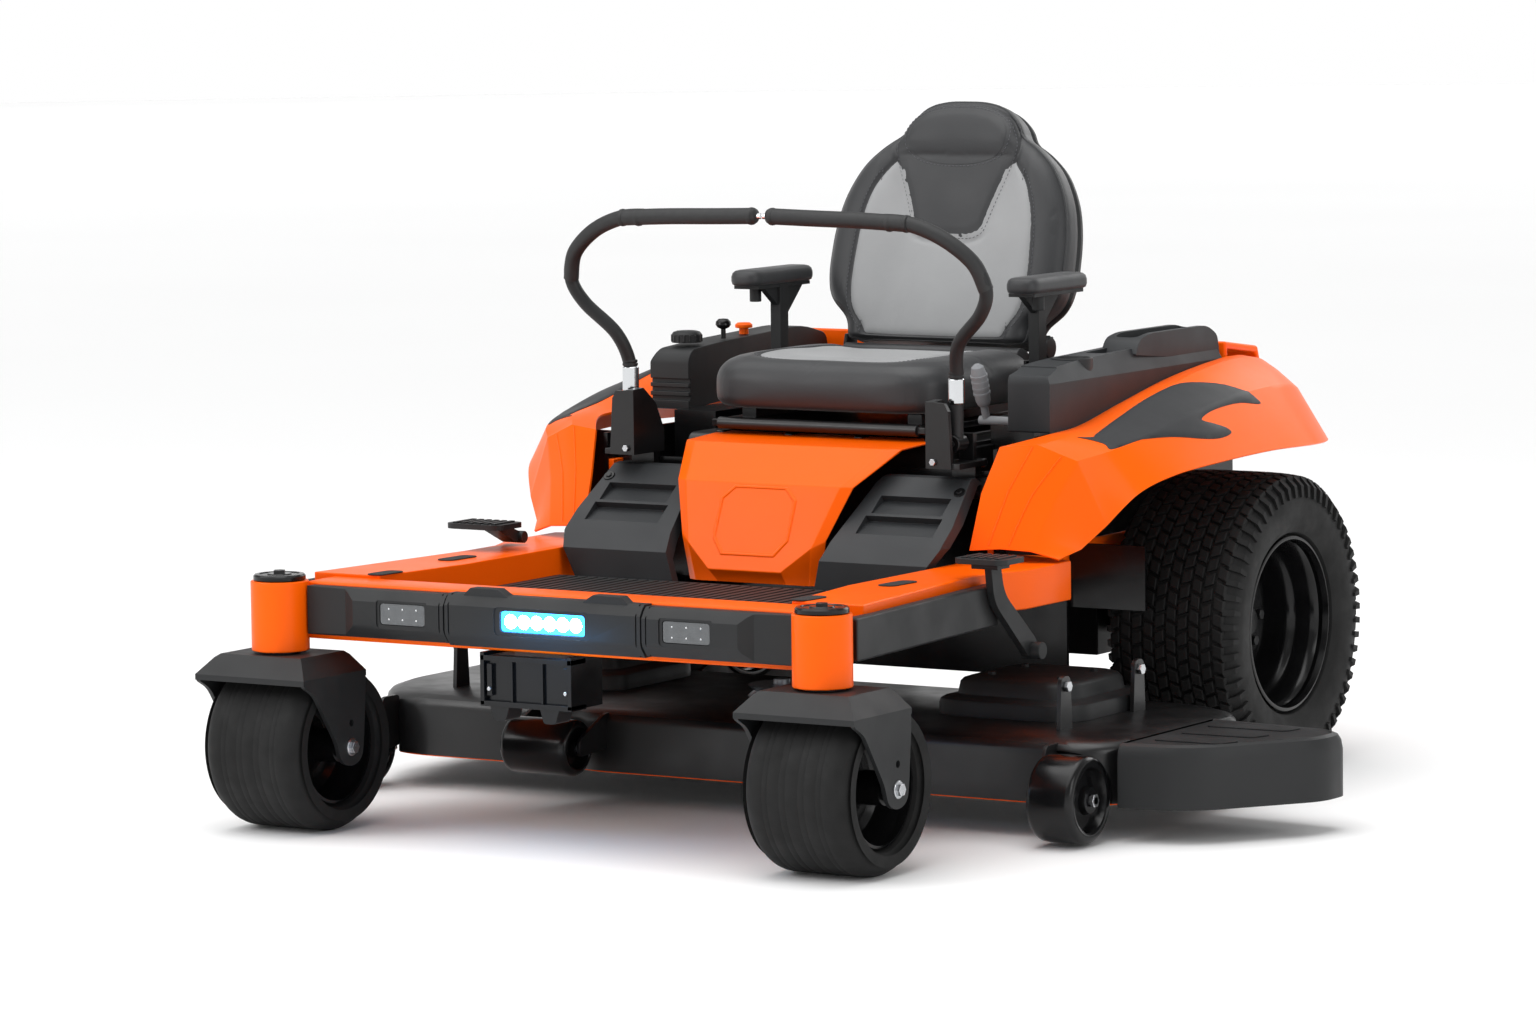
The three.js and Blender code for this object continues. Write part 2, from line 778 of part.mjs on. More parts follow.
function deckShell() {
  const outer = standing(deckPlan(0), DECK_LOW, DECK_TOP);
  const inner = standing(deckPlan(DECK_WALL), DECK_LOW - 1, DECK_TOP - DECK_WALL);
  const arches = [1, -1].map((side) =>
    rod("x", ROLLER_RADIUS + 12, -ROLLER_WIDTH / 2 - 8, ROLLER_WIDTH / 2 + 8, [
      side * ROLLER_X,
      ROLLER_Y,
      ROLLER_Z,
    ]),
  );
  const spindleHoles = [-1, 0, 1].map((k) =>
    rod("z", 26, DECK_LOW, DECK_TOP + 5, [k * SPINDLE_SPACING, k ? SPINDLE_Y : CENTRE_SPINDLE_Y, 0]),
  );
  const discharge = box([DECK_HALF - 20, DECK_HALF + 5], [-800, -540], [DECK_LOW - 5, DECK_TOP - 24]);
  const shell = cut(outer, inner, ...arches, ...spindleHoles, discharge);
  const mounts = [1, -1].flatMap((side) =>
    rollerMount({ x: side * ROLLER_X, y: ROLLER_Y, z: ROLLER_Z, width: ROLLER_WIDTH }, -side),
  );
  const hangers = [1, -1].flatMap((side) =>
    [-745, -480].map((y) =>
      box([side * HANGER_X, side * (HANGER_X + 8)], [y - 22, y + 22], [DECK_TOP - 4, HANGER_TOP]),
    ),
  );
  const fittings = [...mounts, ...hangers, ...rollerMount(MIDDLE_ROLLER, 0)];
  addLow("deck_shell", join(shell, ...fittings), blackSteel);
}

function deckCover(side) {
  const plan = (inset) =>
    mirror(
      [
        [330 + inset, -670 + inset],
        [380 + inset, -690 + inset],
        [585 - inset, -690 + inset],
        [620 - inset, -650 + inset],
        [620 - inset, -430 - inset],
        [580 - inset, -390 - inset],
        [370 + inset, -390 - inset],
        [330 + inset, -430 - inset],
      ],
      side,
    );
  const low = DECK_TOP + GAP;
  const top = DECK_TOP + COVER_HEIGHT;
  const shell = cut(standing(plan(0), low, top), standing(plan(5), low - 1, top - 5));
  addLow(`deck_cover_${hand(side)}`, shell, blackPlastic);
}

function deflector() {
  const near = DECK_HALF + 3;
  const far = DECK_HALF + DEFLECTOR_REACH;
  const plan = (inset) => [
    [near, -870 + inset],
    [far - 145 - inset, -845 + inset],
    [far - inset, -640 + inset],
    [far - inset, -562 - inset],
    [far - 30 - inset, -530 - inset],
    [near, -500 - inset],
  ];
  const shell = cut(
    standing(plan(0), DECK_LOW, DECK_TOP),
    standing(
      plan(5).map(([x, y]) => [x === near ? near - 2 : x, y]),
      DECK_LOW - 1,
      DECK_TOP - 5,
    ),
  );
  addLow("discharge_deflector", shell, blackPlastic);
}

function blade(name, x, y) {
  const half = BLADE_LENGTH / 2;
  const bar = box([-half, half], [-30, 30], [BLADE_Z, BLADE_Z + 6]);
  const hub = rod("z", 34, BLADE_Z - 6, BLADE_Z + 20, [0, 0, 0], 16);
  const shaft = rod("z", 15, BLADE_Z, DECK_TOP + 40, [0, 0, 0], 12);
  const pulley = turned(
    [
      [0, DECK_TOP + 10],
      [PULLEY_RADIUS, DECK_TOP + 10],
      [PULLEY_RADIUS - 12, DECK_TOP + 20],
      [PULLEY_RADIUS, DECK_TOP + 30],
      [0, DECK_TOP + 30],
    ],
    20,
    "z",
    [0, 0, 0],
  );
  addLow(name, join(bar, hub, shaft, pulley), steel, [x, y, 0]);
}

function roller(name, { x, y, z, radius, width }) {
  const half = width / 2;
  const bore = PIN + AXLE_PLAY;
  const profile = [
    [bore, -half],
    [radius - 9, -half],
    [radius, -half + 12],
    [radius, half - 12],
    [radius - 9, half],
    [bore, half],
  ];
  addLow(name, turned(profile, 20, "x", [0, 0, 0]), blackPlastic, [x, y, z]);
}

// ---- seat --------------------------------------------------------------------------------------
const roundedRect = (x0, x1, y0, y1, r) => {
  const corner = (cx, cy, from) =>
    [0, 1, 2, 3].map((i) => {
      const turn = from + (i / 3) * (Math.PI / 2);
      return [cx + r * Math.cos(turn), cy + r * Math.sin(turn)];
    });
  return [
    ...corner(x1 - r, y1 - r, 0),
    ...corner(x0 + r, y1 - r, Math.PI / 2),
    ...corner(x0 + r, y0 + r, Math.PI),
    ...corner(x1 - r, y0 + r, Math.PI * 1.5),
  ];
};

function pad(points, thickness, bevel) {
  return new THREE.ExtrudeGeometry(outline(points), {
    depth: thickness - 2 * bevel,
    bevelEnabled: true,
    bevelThickness: bevel,
    bevelSize: bevel,
    bevelOffset: -bevel,
    bevelSegments: 2,
  }).translate(0, 0, bevel);
}

const HINGE_Z = 652;
const BACK_FOOT_Z = SEAT_LOW + SEAT_THICK - 27;
const BACK_FOOT_HALF = 194;
const BACK_PIVOT = { y: SEAT_REAR + 30, z: BACK_FOOT_Z + 14 };
const ARM_PIVOT = { x: SEAT_HALF + 26, y: -198, z: 742 };
const ARM_PIN = 7;

function seat() {
  const pan = box([-225, 225], [SEAT_FRONT + 12, SEAT_REAR + 50], [HINGE_Z - 6, HINGE_Z + 6]);
  const barrel = rod("x", 11, -210, 210, [0, SEAT_FRONT + 14, HINGE_Z], 12);
  const runners = [1, -1].map((side) =>
    box([side * 160, side * 190], [SEAT_FRONT + 60, SEAT_REAR - 40], [HINGE_Z, SEAT_LOW - GAP]),
  );
  const backPlates = [1, -1].map((side) =>
    sideways(
      [
        [SEAT_REAR - 28, HINGE_Z],
        [SEAT_REAR + 46, HINGE_Z],
        [BACK_PIVOT.y + 18, BACK_PIVOT.z + 16],
        [BACK_PIVOT.y - 18, BACK_PIVOT.z + 16],
      ],
      side * (BACK_FOOT_HALF + 6),
      side * (BACK_FOOT_HALF + 13),
    ),
  );
  const ear = SEAT_HALF + 11;
  const armBrackets = [1, -1].flatMap((side) => [
    box([side * 220, side * ear], [ARM_PIVOT.y - 16, ARM_PIVOT.y + 16], [HINGE_Z - 6, HINGE_Z + 6]),
    box([side * (ear - 6), side * ear], [ARM_PIVOT.y - 16, ARM_PIVOT.y + 16], [HINGE_Z, ARM_PIVOT.z + 16]),
    rod("x", ARM_PIN, -17, 17, [side * (ear + 14), ARM_PIVOT.y, ARM_PIVOT.z], 12),
  ]);
  add("seat_pan", join(pan, barrel, ...runners, ...backPlates, ...armBrackets), blackSteel);

  const cushion = pad(roundedRect(-SEAT_HALF, SEAT_HALF, SEAT_FRONT, SEAT_REAR - 35, 78), SEAT_THICK, 22);
  add("seat_cushion", cushion, vinyl, [0, 0, SEAT_LOW]);

  const half = [
    [0, 0],
    [BACK_FOOT_HALF, 0],
    [BACK_FOOT_HALF + 2, 42],
    [246, 82],
    [SEAT_HALF + 6, 130],
    [SEAT_HALF + 4, 212],
    [SEAT_HALF - 10, 280],
    [206, 342],
    [160, 380],
    [130, 396],
    [118, 424],
    [84, BACK_HEIGHT - 10],
    [40, BACK_HEIGHT],
    [0, BACK_HEIGHT],
  ];
  const left = half.slice(1, -1).map(([x, z]) => [-x, z]);
  const back = pad([...half.slice(1, -1), ...left.reverse()], BACK_THICK, 24);
  back.rotateX(Math.PI / 2);
  back.rotateX(THREE.MathUtils.degToRad(-BACK_RAKE));
  add("backrest", back, vinyl, [0, SEAT_REAR + 70, BACK_FOOT_Z]);
}

function armrest(side) {
  const top = 914;
  const rest = pad(roundedRect(-32, 32, -302, -86, 22), 30, 8);
  rest.translate(side * ARM_X, 0, top - 30);
  const post = box(
    [side * (ARM_PIVOT.x - 11), side * (ARM_PIVOT.x + 11)],
    [ARM_PIVOT.y - 14, ARM_PIVOT.y + 14],
    [ARM_PIVOT.z - 8, top - 26],
  );
  const at = [side * ARM_PIVOT.x, ARM_PIVOT.y, ARM_PIVOT.z];
  const knuckle = rod("x", 18, -11, 11, at, 16);
  const bore = rod("x", ARM_PIN + AXLE_PLAY, -20, 20, at, 12);
  add(`armrest_${hand(side)}`, cut(join(rest, post, knuckle), bore), blackPlastic);
}

// ---- controls ----------------------------------------------------------------------------------
const SHELF_Z = 600;
const KNUCKLE_Z = 642;
const SWING_PIN = 6;

function leverPivot(side) {
  const hubFrom = LEVER_X - 28;
  const hubTo = LEVER_X + 44;
  const span = [side * hubFrom, side * hubTo].sort((a, b) => a - b);
  const hub = rod("x", 20, ...span, [0, PIVOT_Y, PIVOT_Z]);
  const bore = rod("x", PIVOT_RADIUS + AXLE_PLAY, span[0] - 5, span[1] + 5, [0, PIVOT_Y, PIVOT_Z]);
  const post = box([side * hubFrom, side * (LEVER_X + 20)], [-577, -555], [PIVOT_Z + 12, SHELF_Z + 4]);
  const ear = box([side * (LEVER_X - 15), side * (LEVER_X + 15)], [-575, -563], [SHELF_Z, KNUCKLE_Z + 16]);
  const pin = rod("y", SWING_PIN, 0, 60, [side * LEVER_X, -628, KNUCKLE_Z], 12);
  const shelf = box([side * (LEVER_X - 36), side * (LEVER_X + 30)], [-650, -553], [SHELF_Z, SHELF_Z + 10]);
  const tower = sideways(
    [
      [-655, SHELF_Z],
      [-655, SHELF_Z + 118],
      [-620, SHELF_Z + 120],
      [-580, SHELF_Z + 90],
      [-553, SHELF_Z + 40],
      [-553, SHELF_Z],
    ],
    side * (LEVER_X - 36),
    side * (LEVER_X - 20),
  );
  const shield = facing(
    mirror(
      [
        [LEVER_X - 36, SHELF_Z],
        [LEVER_X - 36, SHELF_Z + 118],
        [LEVER_X + 2, SHELF_Z + 116],
        [LEVER_X + 10, SHELF_Z + 102],
        [LEVER_X + 16, SHELF_Z],
      ],
      side,
    ),
    -655,
    -645,
  );
  const body = join(cut(join(hub, post), bore), shelf, tower, shield, ear, pin);
  add(`lever_pivot_${hand(side)}`, body, blackSteel);
}

function lever(side) {
  const inner = LEVER_GAP / 2;
  const lower = [
    [LEVER_X, LEVER_Y, KNUCKLE_Z],
    [LEVER_X, LEVER_Y, 700],
    [LEVER_X + 1, LEVER_Y, 760],
    [LEVER_X + 17, LEVER_Y - 20, 818],
    [LEVER_X + 72, LEVER_Y - 38, 873],
    [LEVER_X + 92, LEVER_Y - 52, 918],
    [LEVER_X + 74, LEVER_Y - 66, 966],
    [LEVER_X + 22, LEVER_Y - 80, 1008],
    [LEVER_X - 40, LEVER_Y - 87, 1032],
    [250, LEVER_Y - 89, 1036],
  ];
  const grip = [
    [262, LEVER_Y - 89, 1035],
    [160, LEVER_Y - 90, 1038],
    [inner, LEVER_Y - 91, 1041],
  ];
  const tube = bar(mirror(lower, side), LEVER_RADIUS, 26, 8);
  const sleeve = bar(mirror(grip, side), GRIP_RADIUS, 2, 8);
  const collar = rod("z", 15, 712, 760, [side * LEVER_X, LEVER_Y, 0], 14);
  const knuckle = rod("y", 15, -18, 18, [side * LEVER_X, LEVER_Y, KNUCKLE_Z], 14);
  const bore = rod("y", SWING_PIN + AXLE_PLAY, -30, 30, [side * LEVER_X, LEVER_Y, KNUCKLE_Z], 12);
  const solid = join(cut(join(tube, knuckle), bore), sleeve, collar);
  add(`lever_${hand(side)}`, solid, blackPlastic);
}

const BRAKE = { x: SEAT_HALF + 56, y: -438, z: 668 };
const CONSOLE_X = -404;
const CAP_Y = -292;

function smallControls() {
  const cap = turned(
    [[0, 0], [30, 0], [30, 16], [22, 22], [0, 22]],
    16,
    "z",
    [0, 0, 0],
  );
  add("fuel_cap", cap, blackPlastic, [CONSOLE_X - 18, CAP_Y, TANK_TOP + 1]);

  const consoleTop = (y) => TANK_TOP + ((y + 225) / 285) * 12;
  const slider = join(
    rod("z", 5, 0, 22, [0, 0, 0], 10),
    turned([[0, 18], [12, 20], [15, 28], [10, 36], [0, 38]], 12, "z", [0, 0, 0]),
  );
  add("throttle_lever", slider, blackPlastic, [CONSOLE_X + 8, -205, consoleTop(-205) + 2]);

  const button = join(
    rod("z", 9, 0, 12, [0, 0, 0], 12),
    turned([[0, 10], [17, 12], [17, 18], [12, 22], [0, 22]], 14, "z", [0, 0, 0]),
  );
  add("blade_switch", button, orange, [CONSOLE_X, -120, consoleTop(-120) + 1]);

  const grip = turned(
    [[0, 0], [7, 0], [7, 28], [13, 34], [15, 70], [11, 104], [0, 108]],
    12,
    "z",
    [0, 0, 0],
  );
  grip.rotateX(THREE.MathUtils.degToRad(18));
  const shaft = rod("x", 8, -10, TANK_INNER - GAP - BRAKE.x, [0, 0, 0], 12);
  add("parking_brake_lever", join(grip, shaft), paleGrip, [BRAKE.x, BRAKE.y, BRAKE.z]);

  const knob = turned([[0, 0], [20, 0], [24, 5], [24, 16], [20, 20], [0, 20]], 14, "x", [0, 0, 0]);
  add("recline_knob", knob, blackPlastic, [BACK_FOOT_HALF + 14, BACK_PIVOT.y, BACK_PIVOT.z]);
}

function pedals() {
  const x = 560;
  const pivot = { y: -736, z: 302 };
  const arm = sideways(
    [
      [pivot.y + 14, pivot.z - 8],
      [pivot.y + 10, pivot.z + 16],
      [-836, 410],
      [-852, 470],
      [-880, 470],
      [-868, 400],
      [pivot.y - 16, pivot.z - 6],
    ],
    x - 6,
    x + 6,
  );
  const plate = box([x - 52, x + 50], [-915, -835], [468, 480]);
  const hub = rod("x", 15, -10, 26, [x, pivot.y, pivot.z]);
  add("deck_lift_pedal", join(arm, plate, hub), blackPlastic);

  const brakeX = -492;
  const brake = join(
    box([brakeX - 60, brakeX + 60], [-908, -828], [480, 492]),
    sideways([[-786, 446], [-762, 460], [-836, 486], [-876, 486]], brakeX - 16, brakeX + 16),
    rod("x", 11, -24, 24, [brakeX, -772, 455]),
  );
  add("brake_pedal", brake, blackPlastic);
}

// ---- assembly ----------------------------------------------------------------------------------
frontBeam();
rearFrame();
bumper();
floorPan();
cowl();
rearHood();
engine();
driveAxle();
batteryBox();
tank("fuel_tank", 1, -500);
tank("control_console", -1, -345);
deckShell();
deflector();
seat();
smallControls();
pedals();
[1, -1].forEach((side) => {
  rail(side);
  railCover(side);
  stepPanel(side);
  fender(side);
  rearWheel(side);
  casterWheel(side);
  casterFork(side);
  deckCover(side);
  armrest(side);
  leverPivot(side);
  lever(side);
});
blade("blade_left", SPINDLE_SPACING, SPINDLE_Y);
blade("blade_centre", 0, CENTRE_SPINDLE_Y);
blade("blade_right", -SPINDLE_SPACING, SPINDLE_Y);
[1, -1].forEach((side) =>
  roller(`roller_${hand(side)}`, {
    x: side * ROLLER_X,
    y: ROLLER_Y,
    z: ROLLER_Z,
    radius: ROLLER_RADIUS,
    width: ROLLER_WIDTH,
  }),
);
roller("roller_centre", MIDDLE_ROLLER);

// The footprint runs from the deflector's edge to the deck's other side, and from the caster tyres'
// fronts to the rear guard.
const front = POST_Y + TRAIL - CASTER_RADIUS;
mower.position.set(-DEFLECTOR_REACH / 2, -(front + REAR_END) / 2, 0);

const model = new THREE.Group();
model.add(mower);

export default model;
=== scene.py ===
import math

import bmesh
import bpy
from bpy.props import FloatProperty, IntProperty, PointerProperty
from mathutils import Matrix, Vector
from mathutils.bvhtree import BVHTree
from mathutils.kdtree import KDTree


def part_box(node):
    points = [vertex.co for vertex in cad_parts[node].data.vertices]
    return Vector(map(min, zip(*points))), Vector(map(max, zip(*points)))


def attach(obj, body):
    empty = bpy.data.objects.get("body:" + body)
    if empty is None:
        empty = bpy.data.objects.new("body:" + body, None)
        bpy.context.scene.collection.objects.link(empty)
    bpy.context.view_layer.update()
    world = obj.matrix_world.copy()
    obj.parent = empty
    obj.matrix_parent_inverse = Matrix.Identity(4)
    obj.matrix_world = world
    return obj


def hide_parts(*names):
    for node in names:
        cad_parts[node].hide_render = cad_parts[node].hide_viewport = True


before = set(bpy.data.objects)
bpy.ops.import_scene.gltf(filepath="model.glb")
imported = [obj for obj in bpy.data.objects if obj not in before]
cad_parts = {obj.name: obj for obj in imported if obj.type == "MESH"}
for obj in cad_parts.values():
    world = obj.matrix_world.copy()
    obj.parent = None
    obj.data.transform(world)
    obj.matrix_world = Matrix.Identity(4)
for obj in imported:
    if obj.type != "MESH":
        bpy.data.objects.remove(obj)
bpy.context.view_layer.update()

bl_info = {
    "name": "Zero turn mower",
    "version": (1, 0, 0),
    "blender": (4, 5, 0),
    "location": "View3D > Sidebar > Mower",
    "description": "Builds the visible pieces of a zero turn mower on its packed frame",
    "category": "Add Mesh",
}


def middle(node):
    low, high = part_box(node)
    return [(a + b) / 2 for a, b in zip(low, high)]


# The machine's own origin lies on the ground under the rear axle, on its middle plane.
CENTRE_X = middle("front_beam")[0]
AXLE_Y = middle("rear_tyre_left")[1]


def at(x, y, z):
    """A point given in millimetres from the machine's own origin, in the row frame."""
    return Vector((x / 1000 + CENTRE_X, y / 1000 + AXLE_Y, z / 1000))


def span(node, axis):
    """A node's lowest and highest value along an axis, in millimetres from the machine's origin."""
    low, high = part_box(node)
    shift = (CENTRE_X, AXLE_Y, 0)[axis]
    return (low[axis] - shift) * 1000, (high[axis] - shift) * 1000


SIDES = {"left": 1, "right": -1}


# ---- meshes ------------------------------------------------------------------------------------
def object_of(name, bm, materials):
    bmesh.ops.recalc_face_normals(bm, faces=bm.faces)
    mesh = bpy.data.meshes.new(name)
    bm.to_mesh(mesh)
    bm.free()
    for material in materials:
        mesh.materials.append(material)
    obj = bpy.data.objects.new(name, mesh)
    bpy.context.scene.collection.objects.link(obj)
    return obj


def bridge(bm, rings, foot=True):
    """Joins rings of equal count into a tube, closed at its end and, with foot, at its start."""
    for first, second in zip(rings, rings[1:]):
        for i in range(len(first)):
            j = (i + 1) % len(first)
            bm.faces.new((first[i], first[j], second[j], second[i]))
    bm.faces.new(rings[-1])
    if foot:
        bm.faces.new(list(reversed(rings[0])))


# Where a point (u, v) of an outline lies when the outline is pulled by w along an axis.
PLACES = {
    "x": lambda u, v, w: (w, u, v),
    "y": lambda u, v, w: (u, w, v),
    "z": lambda u, v, w: (u, v, w),
}


def add_prism(bm, outline, axis, start, end, slot=0):
    """An outline pulled along an axis; along x it is (y, z), along y (x, z) and along z (x, y)."""
    place = PLACES[axis]
    rings = [[bm.verts.new(at(*place(u, v, w))) for u, v in outline] for w in (start, end)]
    faces = [bm.faces.new(rings[0]), bm.faces.new(list(reversed(rings[1])))]
    count = len(outline)
    for i in range(count):
        j = (i + 1) % count
        faces.append(bm.faces.new((rings[0][j], rings[0][i], rings[1][i], rings[1][j])))
    for face in faces:
        face.material_index = slot
    return faces


def add_box(bm, x, y, z, slot=0):
    return add_prism(bm, box_outline(*x, *y), "z", *z, slot)


def add_lathe(bm, profile, axis, centre, steps, slot=0):
    """A closed profile of (radius, distance) turned about an axis through centre."""
    turn = {"x": lambda r, s, a: (a, r, s), "y": lambda r, s, a: (r, a, s), "z": lambda r, s,
        a: (r, s, a)}[axis]
    rings = []
    for r, a in profile:
        if r < 1e-6:
            rings.append([bm.verts.new(at(*(c + d for c, d in zip(centre, turn(0, 0, a)))))])
            continue
        ring = []
        for i in range(steps):
            angle = math.tau * i / steps
            offset = turn(r * math.cos(angle), r * math.sin(angle), a)
            ring.append(bm.verts.new(at(*(c + d for c, d in zip(centre, offset)))))
        rings.append(ring)
    for k, first in enumerate(rings):
        second = rings[(k + 1) % len(rings)]
        if len(first) == 1 and len(second) == 1:
            continue
        for i in range(steps):
            j = (i + 1) % steps
            corners = [first[i % len(first)], first[j % len(first)], second[j % len(second)],
                second[i % len(second)]]
            face = bm.faces.new(list(dict.fromkeys(corners)))
            face.material_index = slot


def add_rod(bm, axis, radius, start, end, centre, steps=32, slot=0, chamfer=1.0):
    c = min(chamfer, radius / 3, abs(end - start) / 3)
    s = math.copysign(c, end - start)
    profile = [(0, start), (radius - c, start), (radius, start + s), (radius, end - s), (radius - c, end),
        (0, end)]
    add_lathe(bm, profile, axis, centre, steps, slot)


def add_hex(bm, axis, radius, start, end, centre, slot=0):
    add_rod(bm, axis, radius, start, end, centre, 6, slot, 0.8)


def add_sweep(bm, points, radius, sides=20, slot=0):
    """A round bar along points in millimetres, with flat ends."""
    path = [at(*q) for q in points]
    reach = radius / 1000
    frame_up = Vector((0.137, 0.951, 0.277)).normalized()
    rings = []
    for i, centre in enumerate(path):
        along = (path[min(i + 1, len(path) - 1)] - path[max(i - 1, 0)]).normalized()
        side = along.cross(frame_up).normalized()
        frame_up = side.cross(along).normalized()
        ring = []
        for k in range(sides):
            angle = math.tau * k / sides
            ring.append(bm.verts.new(centre + reach * (side * math.cos(angle) + frame_up * math.sin(angle))))
        rings.append(ring)
    faces = [bm.faces.new(rings[0]), bm.faces.new(list(reversed(rings[-1])))]
    for first, second in zip(rings, rings[1:]):
        for k in range(sides):
            j = (k + 1) % sides
            faces.append(bm.faces.new((first[k], first[j], second[j], second[k])))
    for face in faces:
        face.material_index = slot


def smooth_line(points, per_span):
    """Catmull-Rom points through the given ones."""
    padded = [points[0], *points, points[-1]]
    line = []
    for a, b, c, d in zip(padded, padded[1:], padded[2:], padded[3:]):
        for i in range(per_span):
            t = i / per_span
            line.append(
                tuple(
                    0.5 * (2 * q + (r - p) * t + (2 * p - 5 * q + 4 * r - s) * t**2 + (
                    3 * q - p - 3 * r + s) * t**3)
                    for p, q, r, s in zip(a, b, c, d)
                )
            )
    return [*line, tuple(points[-1])]


def add_skin(bm, rows, thickness, flip=1, slot=lambda i, j: 0):
    """A curved sheet through rows of points, with its thickness on the inner side."""
    grid = [[at(*q) for q in row] for row in rows]
    high, wide = len(grid), len(grid[0])
    inner = []
    for i in range(high):
        line = []
        for j in range(wide):
            along = grid[min(i + 1, high - 1)][j] - grid[max(i - 1, 0)][j]
            across = grid[i][min(j + 1, wide - 1)] - grid[i][max(j - 1, 0)]
            line.append(grid[i][j] - along.cross(across).normalized() * flip * thickness / 1000)
        inner.append(line)
    top = [[bm.verts.new(v) for v in line] for line in grid]
    low = [[bm.verts.new(v) for v in line] for line in inner]
    for i in range(high - 1):
        for j in range(wide - 1):
            for layer in (top, low):
                face = bm.faces.new((layer[i][j], layer[i + 1][j], layer[i + 1][j + 1], layer[i][j + 1]))
                face.material_index = slot(i, j)
    edge = [(0, j) for j in range(wide)] + [(i, wide - 1) for i in range(1, high)]
    edge += [(high - 1, j) for j in range(wide - 2, -1, -1)] + [(i, 0) for i in range(high - 2, 0, -1)]
    for (i, j), (k, m) in zip(edge, edge[1:] + edge[:1]):
        bm.faces.new((top[i][j], top[k][m], low[k][m], low[i][j]))


def mirrored(points, side):
    return [(x * side, *rest) for x, *rest in points]


def soften(obj, width, segments=2, angle=32):
    """Rounds an object's sharp edges, width in millimetres."""
    bevel = obj.modifiers.new("Edges", "BEVEL")
    bevel.width = width / 1000
    bevel.segments = segments
    bevel.limit_method = "ANGLE"
    bevel.angle_limit = math.radians(angle)
    bevel.harden_normals = True
    bevel.use_clamp_overlap = True
    shade(obj, angle)
    return obj


def shade(obj, angle=32):
    obj.data.shade_smooth()
    obj.data.set_sharp_from_angle(angle=math.radians(angle))
    return obj


def cut_with(obj, tool, operation="DIFFERENCE"):
    """Cuts one object with another, or joins or intersects them, and removes the tool."""
    change = obj.modifiers.new("Cut", "BOOLEAN")
    change.operation = operation
    change.solver = "EXACT"
    change.object = tool
    settle(obj)
    bpy.data.objects.remove(tool)
    return obj


def settle(obj):
    """Turns an object's modifiers into its own mesh."""
    bpy.context.view_layer.update()
    result = bpy.data.meshes.new_from_object(obj.evaluated_get(bpy.context.evaluated_depsgraph_get()))
    obj.modifiers.clear()
    obj.data = result
    return obj


def fit(obj, body, slot, *nodes):
    """Sets a finished piece on its body in place of the CAD nodes that it stands for; the slot is not used.
    """
    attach(obj, body)
    if nodes:
        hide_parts(*nodes)
    return obj


def repaint(obj, look):
    """Leaves one material on a piece, after cutting tools have brought in their own slots."""
    obj.data.materials.clear()
    obj.data.materials.append(Shelf.get(look))


def add_piece(bm, name, looks, body, slot, *nodes, width=0, segments=2, angle=32):
    """A finished piece: its materials by name, its edges rounded by width or only smooth, and its place."""
    obj = object_of(name, bm, shelf(*looks.split()))
    if width:
        soften(obj, width, segments, angle)
    else:
        shade(obj, angle)
    fit(obj, body, slot, *nodes)


def copy_of(node, name, look, width, slot_name, body, segments=2):
    """A hard CAD node again, with its flat faces made whole and its edges rounded."""
    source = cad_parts[node]
    bm = bmesh.new()
    bm.from_mesh(source.data)
    bmesh.ops.remove_doubles(bm, verts=bm.verts, dist=2e-5)
    bmesh.ops.dissolve_limit(bm, angle_limit=math.radians(1), verts=bm.verts, edges=bm.edges)
    obj = object_of(name, bm, shelf(look))
    soften(obj, width, segments)
    return fit(obj, body, slot_name, node)


# ---- materials ---------------------------------------------------------------------------------
def linear(code):
    """A colour's sRGB hex code as linear red, green, blue and alpha."""
    parts = [int(code[i : i + 2], 16) / 255 for i in (1, 3, 5)]
    return (*(v / 12.92 if v <= 0.04045 else ((v + 0.055) / 1.055) ** 2.4 for v in parts), 1.0)


def add_node(tree, kind, links=(), **settings):
    """Adds a shader node; settings name sockets or properties, and links are (socket, output) pairs."""
    made = tree.nodes.new(kind)
    for key, value in settings.items():
        socket = made.inputs.get(key.replace("_", " "))
        if socket is not None:
            socket.default_value = value
        else:
            setattr(made, key, value)
    for key, output in links:
        tree.links.new(output, made.inputs[key])
    return made


def start(name):
    material = bpy.data.materials.new(name)
    material.use_nodes = True
    tree = material.node_tree
    tree.nodes.clear()
    place = add_node(tree, "ShaderNodeTexCoord").outputs["Object"]
    return material, tree, place


def close(tree, shader, bump=None):
    if bump is not None:
        tree.links.new(bump, shader.inputs["Normal"])
    add_node(tree, "ShaderNodeOutputMaterial", [("Surface", shader.outputs[0])])


def pattern(tree, place, size, detail=2.0, rough=0.5):
    """Noise whose features are about size millimetres wide, as a value from 0 to 1."""
    made = add_node(tree, "ShaderNodeTexNoise", [("Vector", place)], Scale=1000 / size, Detail=detail,
        Roughness=rough)
    return made.outputs["Fac"]


def span_of(tree, value, low, high, start_at=0.0, end_at=1.0):
    made = add_node(tree, "ShaderNodeMapRange", [("Value", value)])
    for key, number in (("From Min", start_at), ("From Max", end_at), ("To Min", low), ("To Max", high)):
        made.inputs[key].default_value = number
    return made.outputs["Result"]


def two_tone(tree, value, first, second):
    made = add_node(tree, "ShaderNodeMix", data_type="RGBA")
    tree.links.new(value, made.inputs[0])
    made.inputs[6].default_value = linear(first)
    made.inputs[7].default_value = linear(second)
    return made.outputs[2]


def relief(tree, height, depth, strength=1.0, under=None):
    """A bump of the given depth in millimetres."""
    links = [("Height", height)] + ([("Normal", under)] if under is not None else [])
    made = add_node(tree, "ShaderNodeBump", links, Strength=strength, Distance=depth / 1000)
    return made.outputs["Normal"]


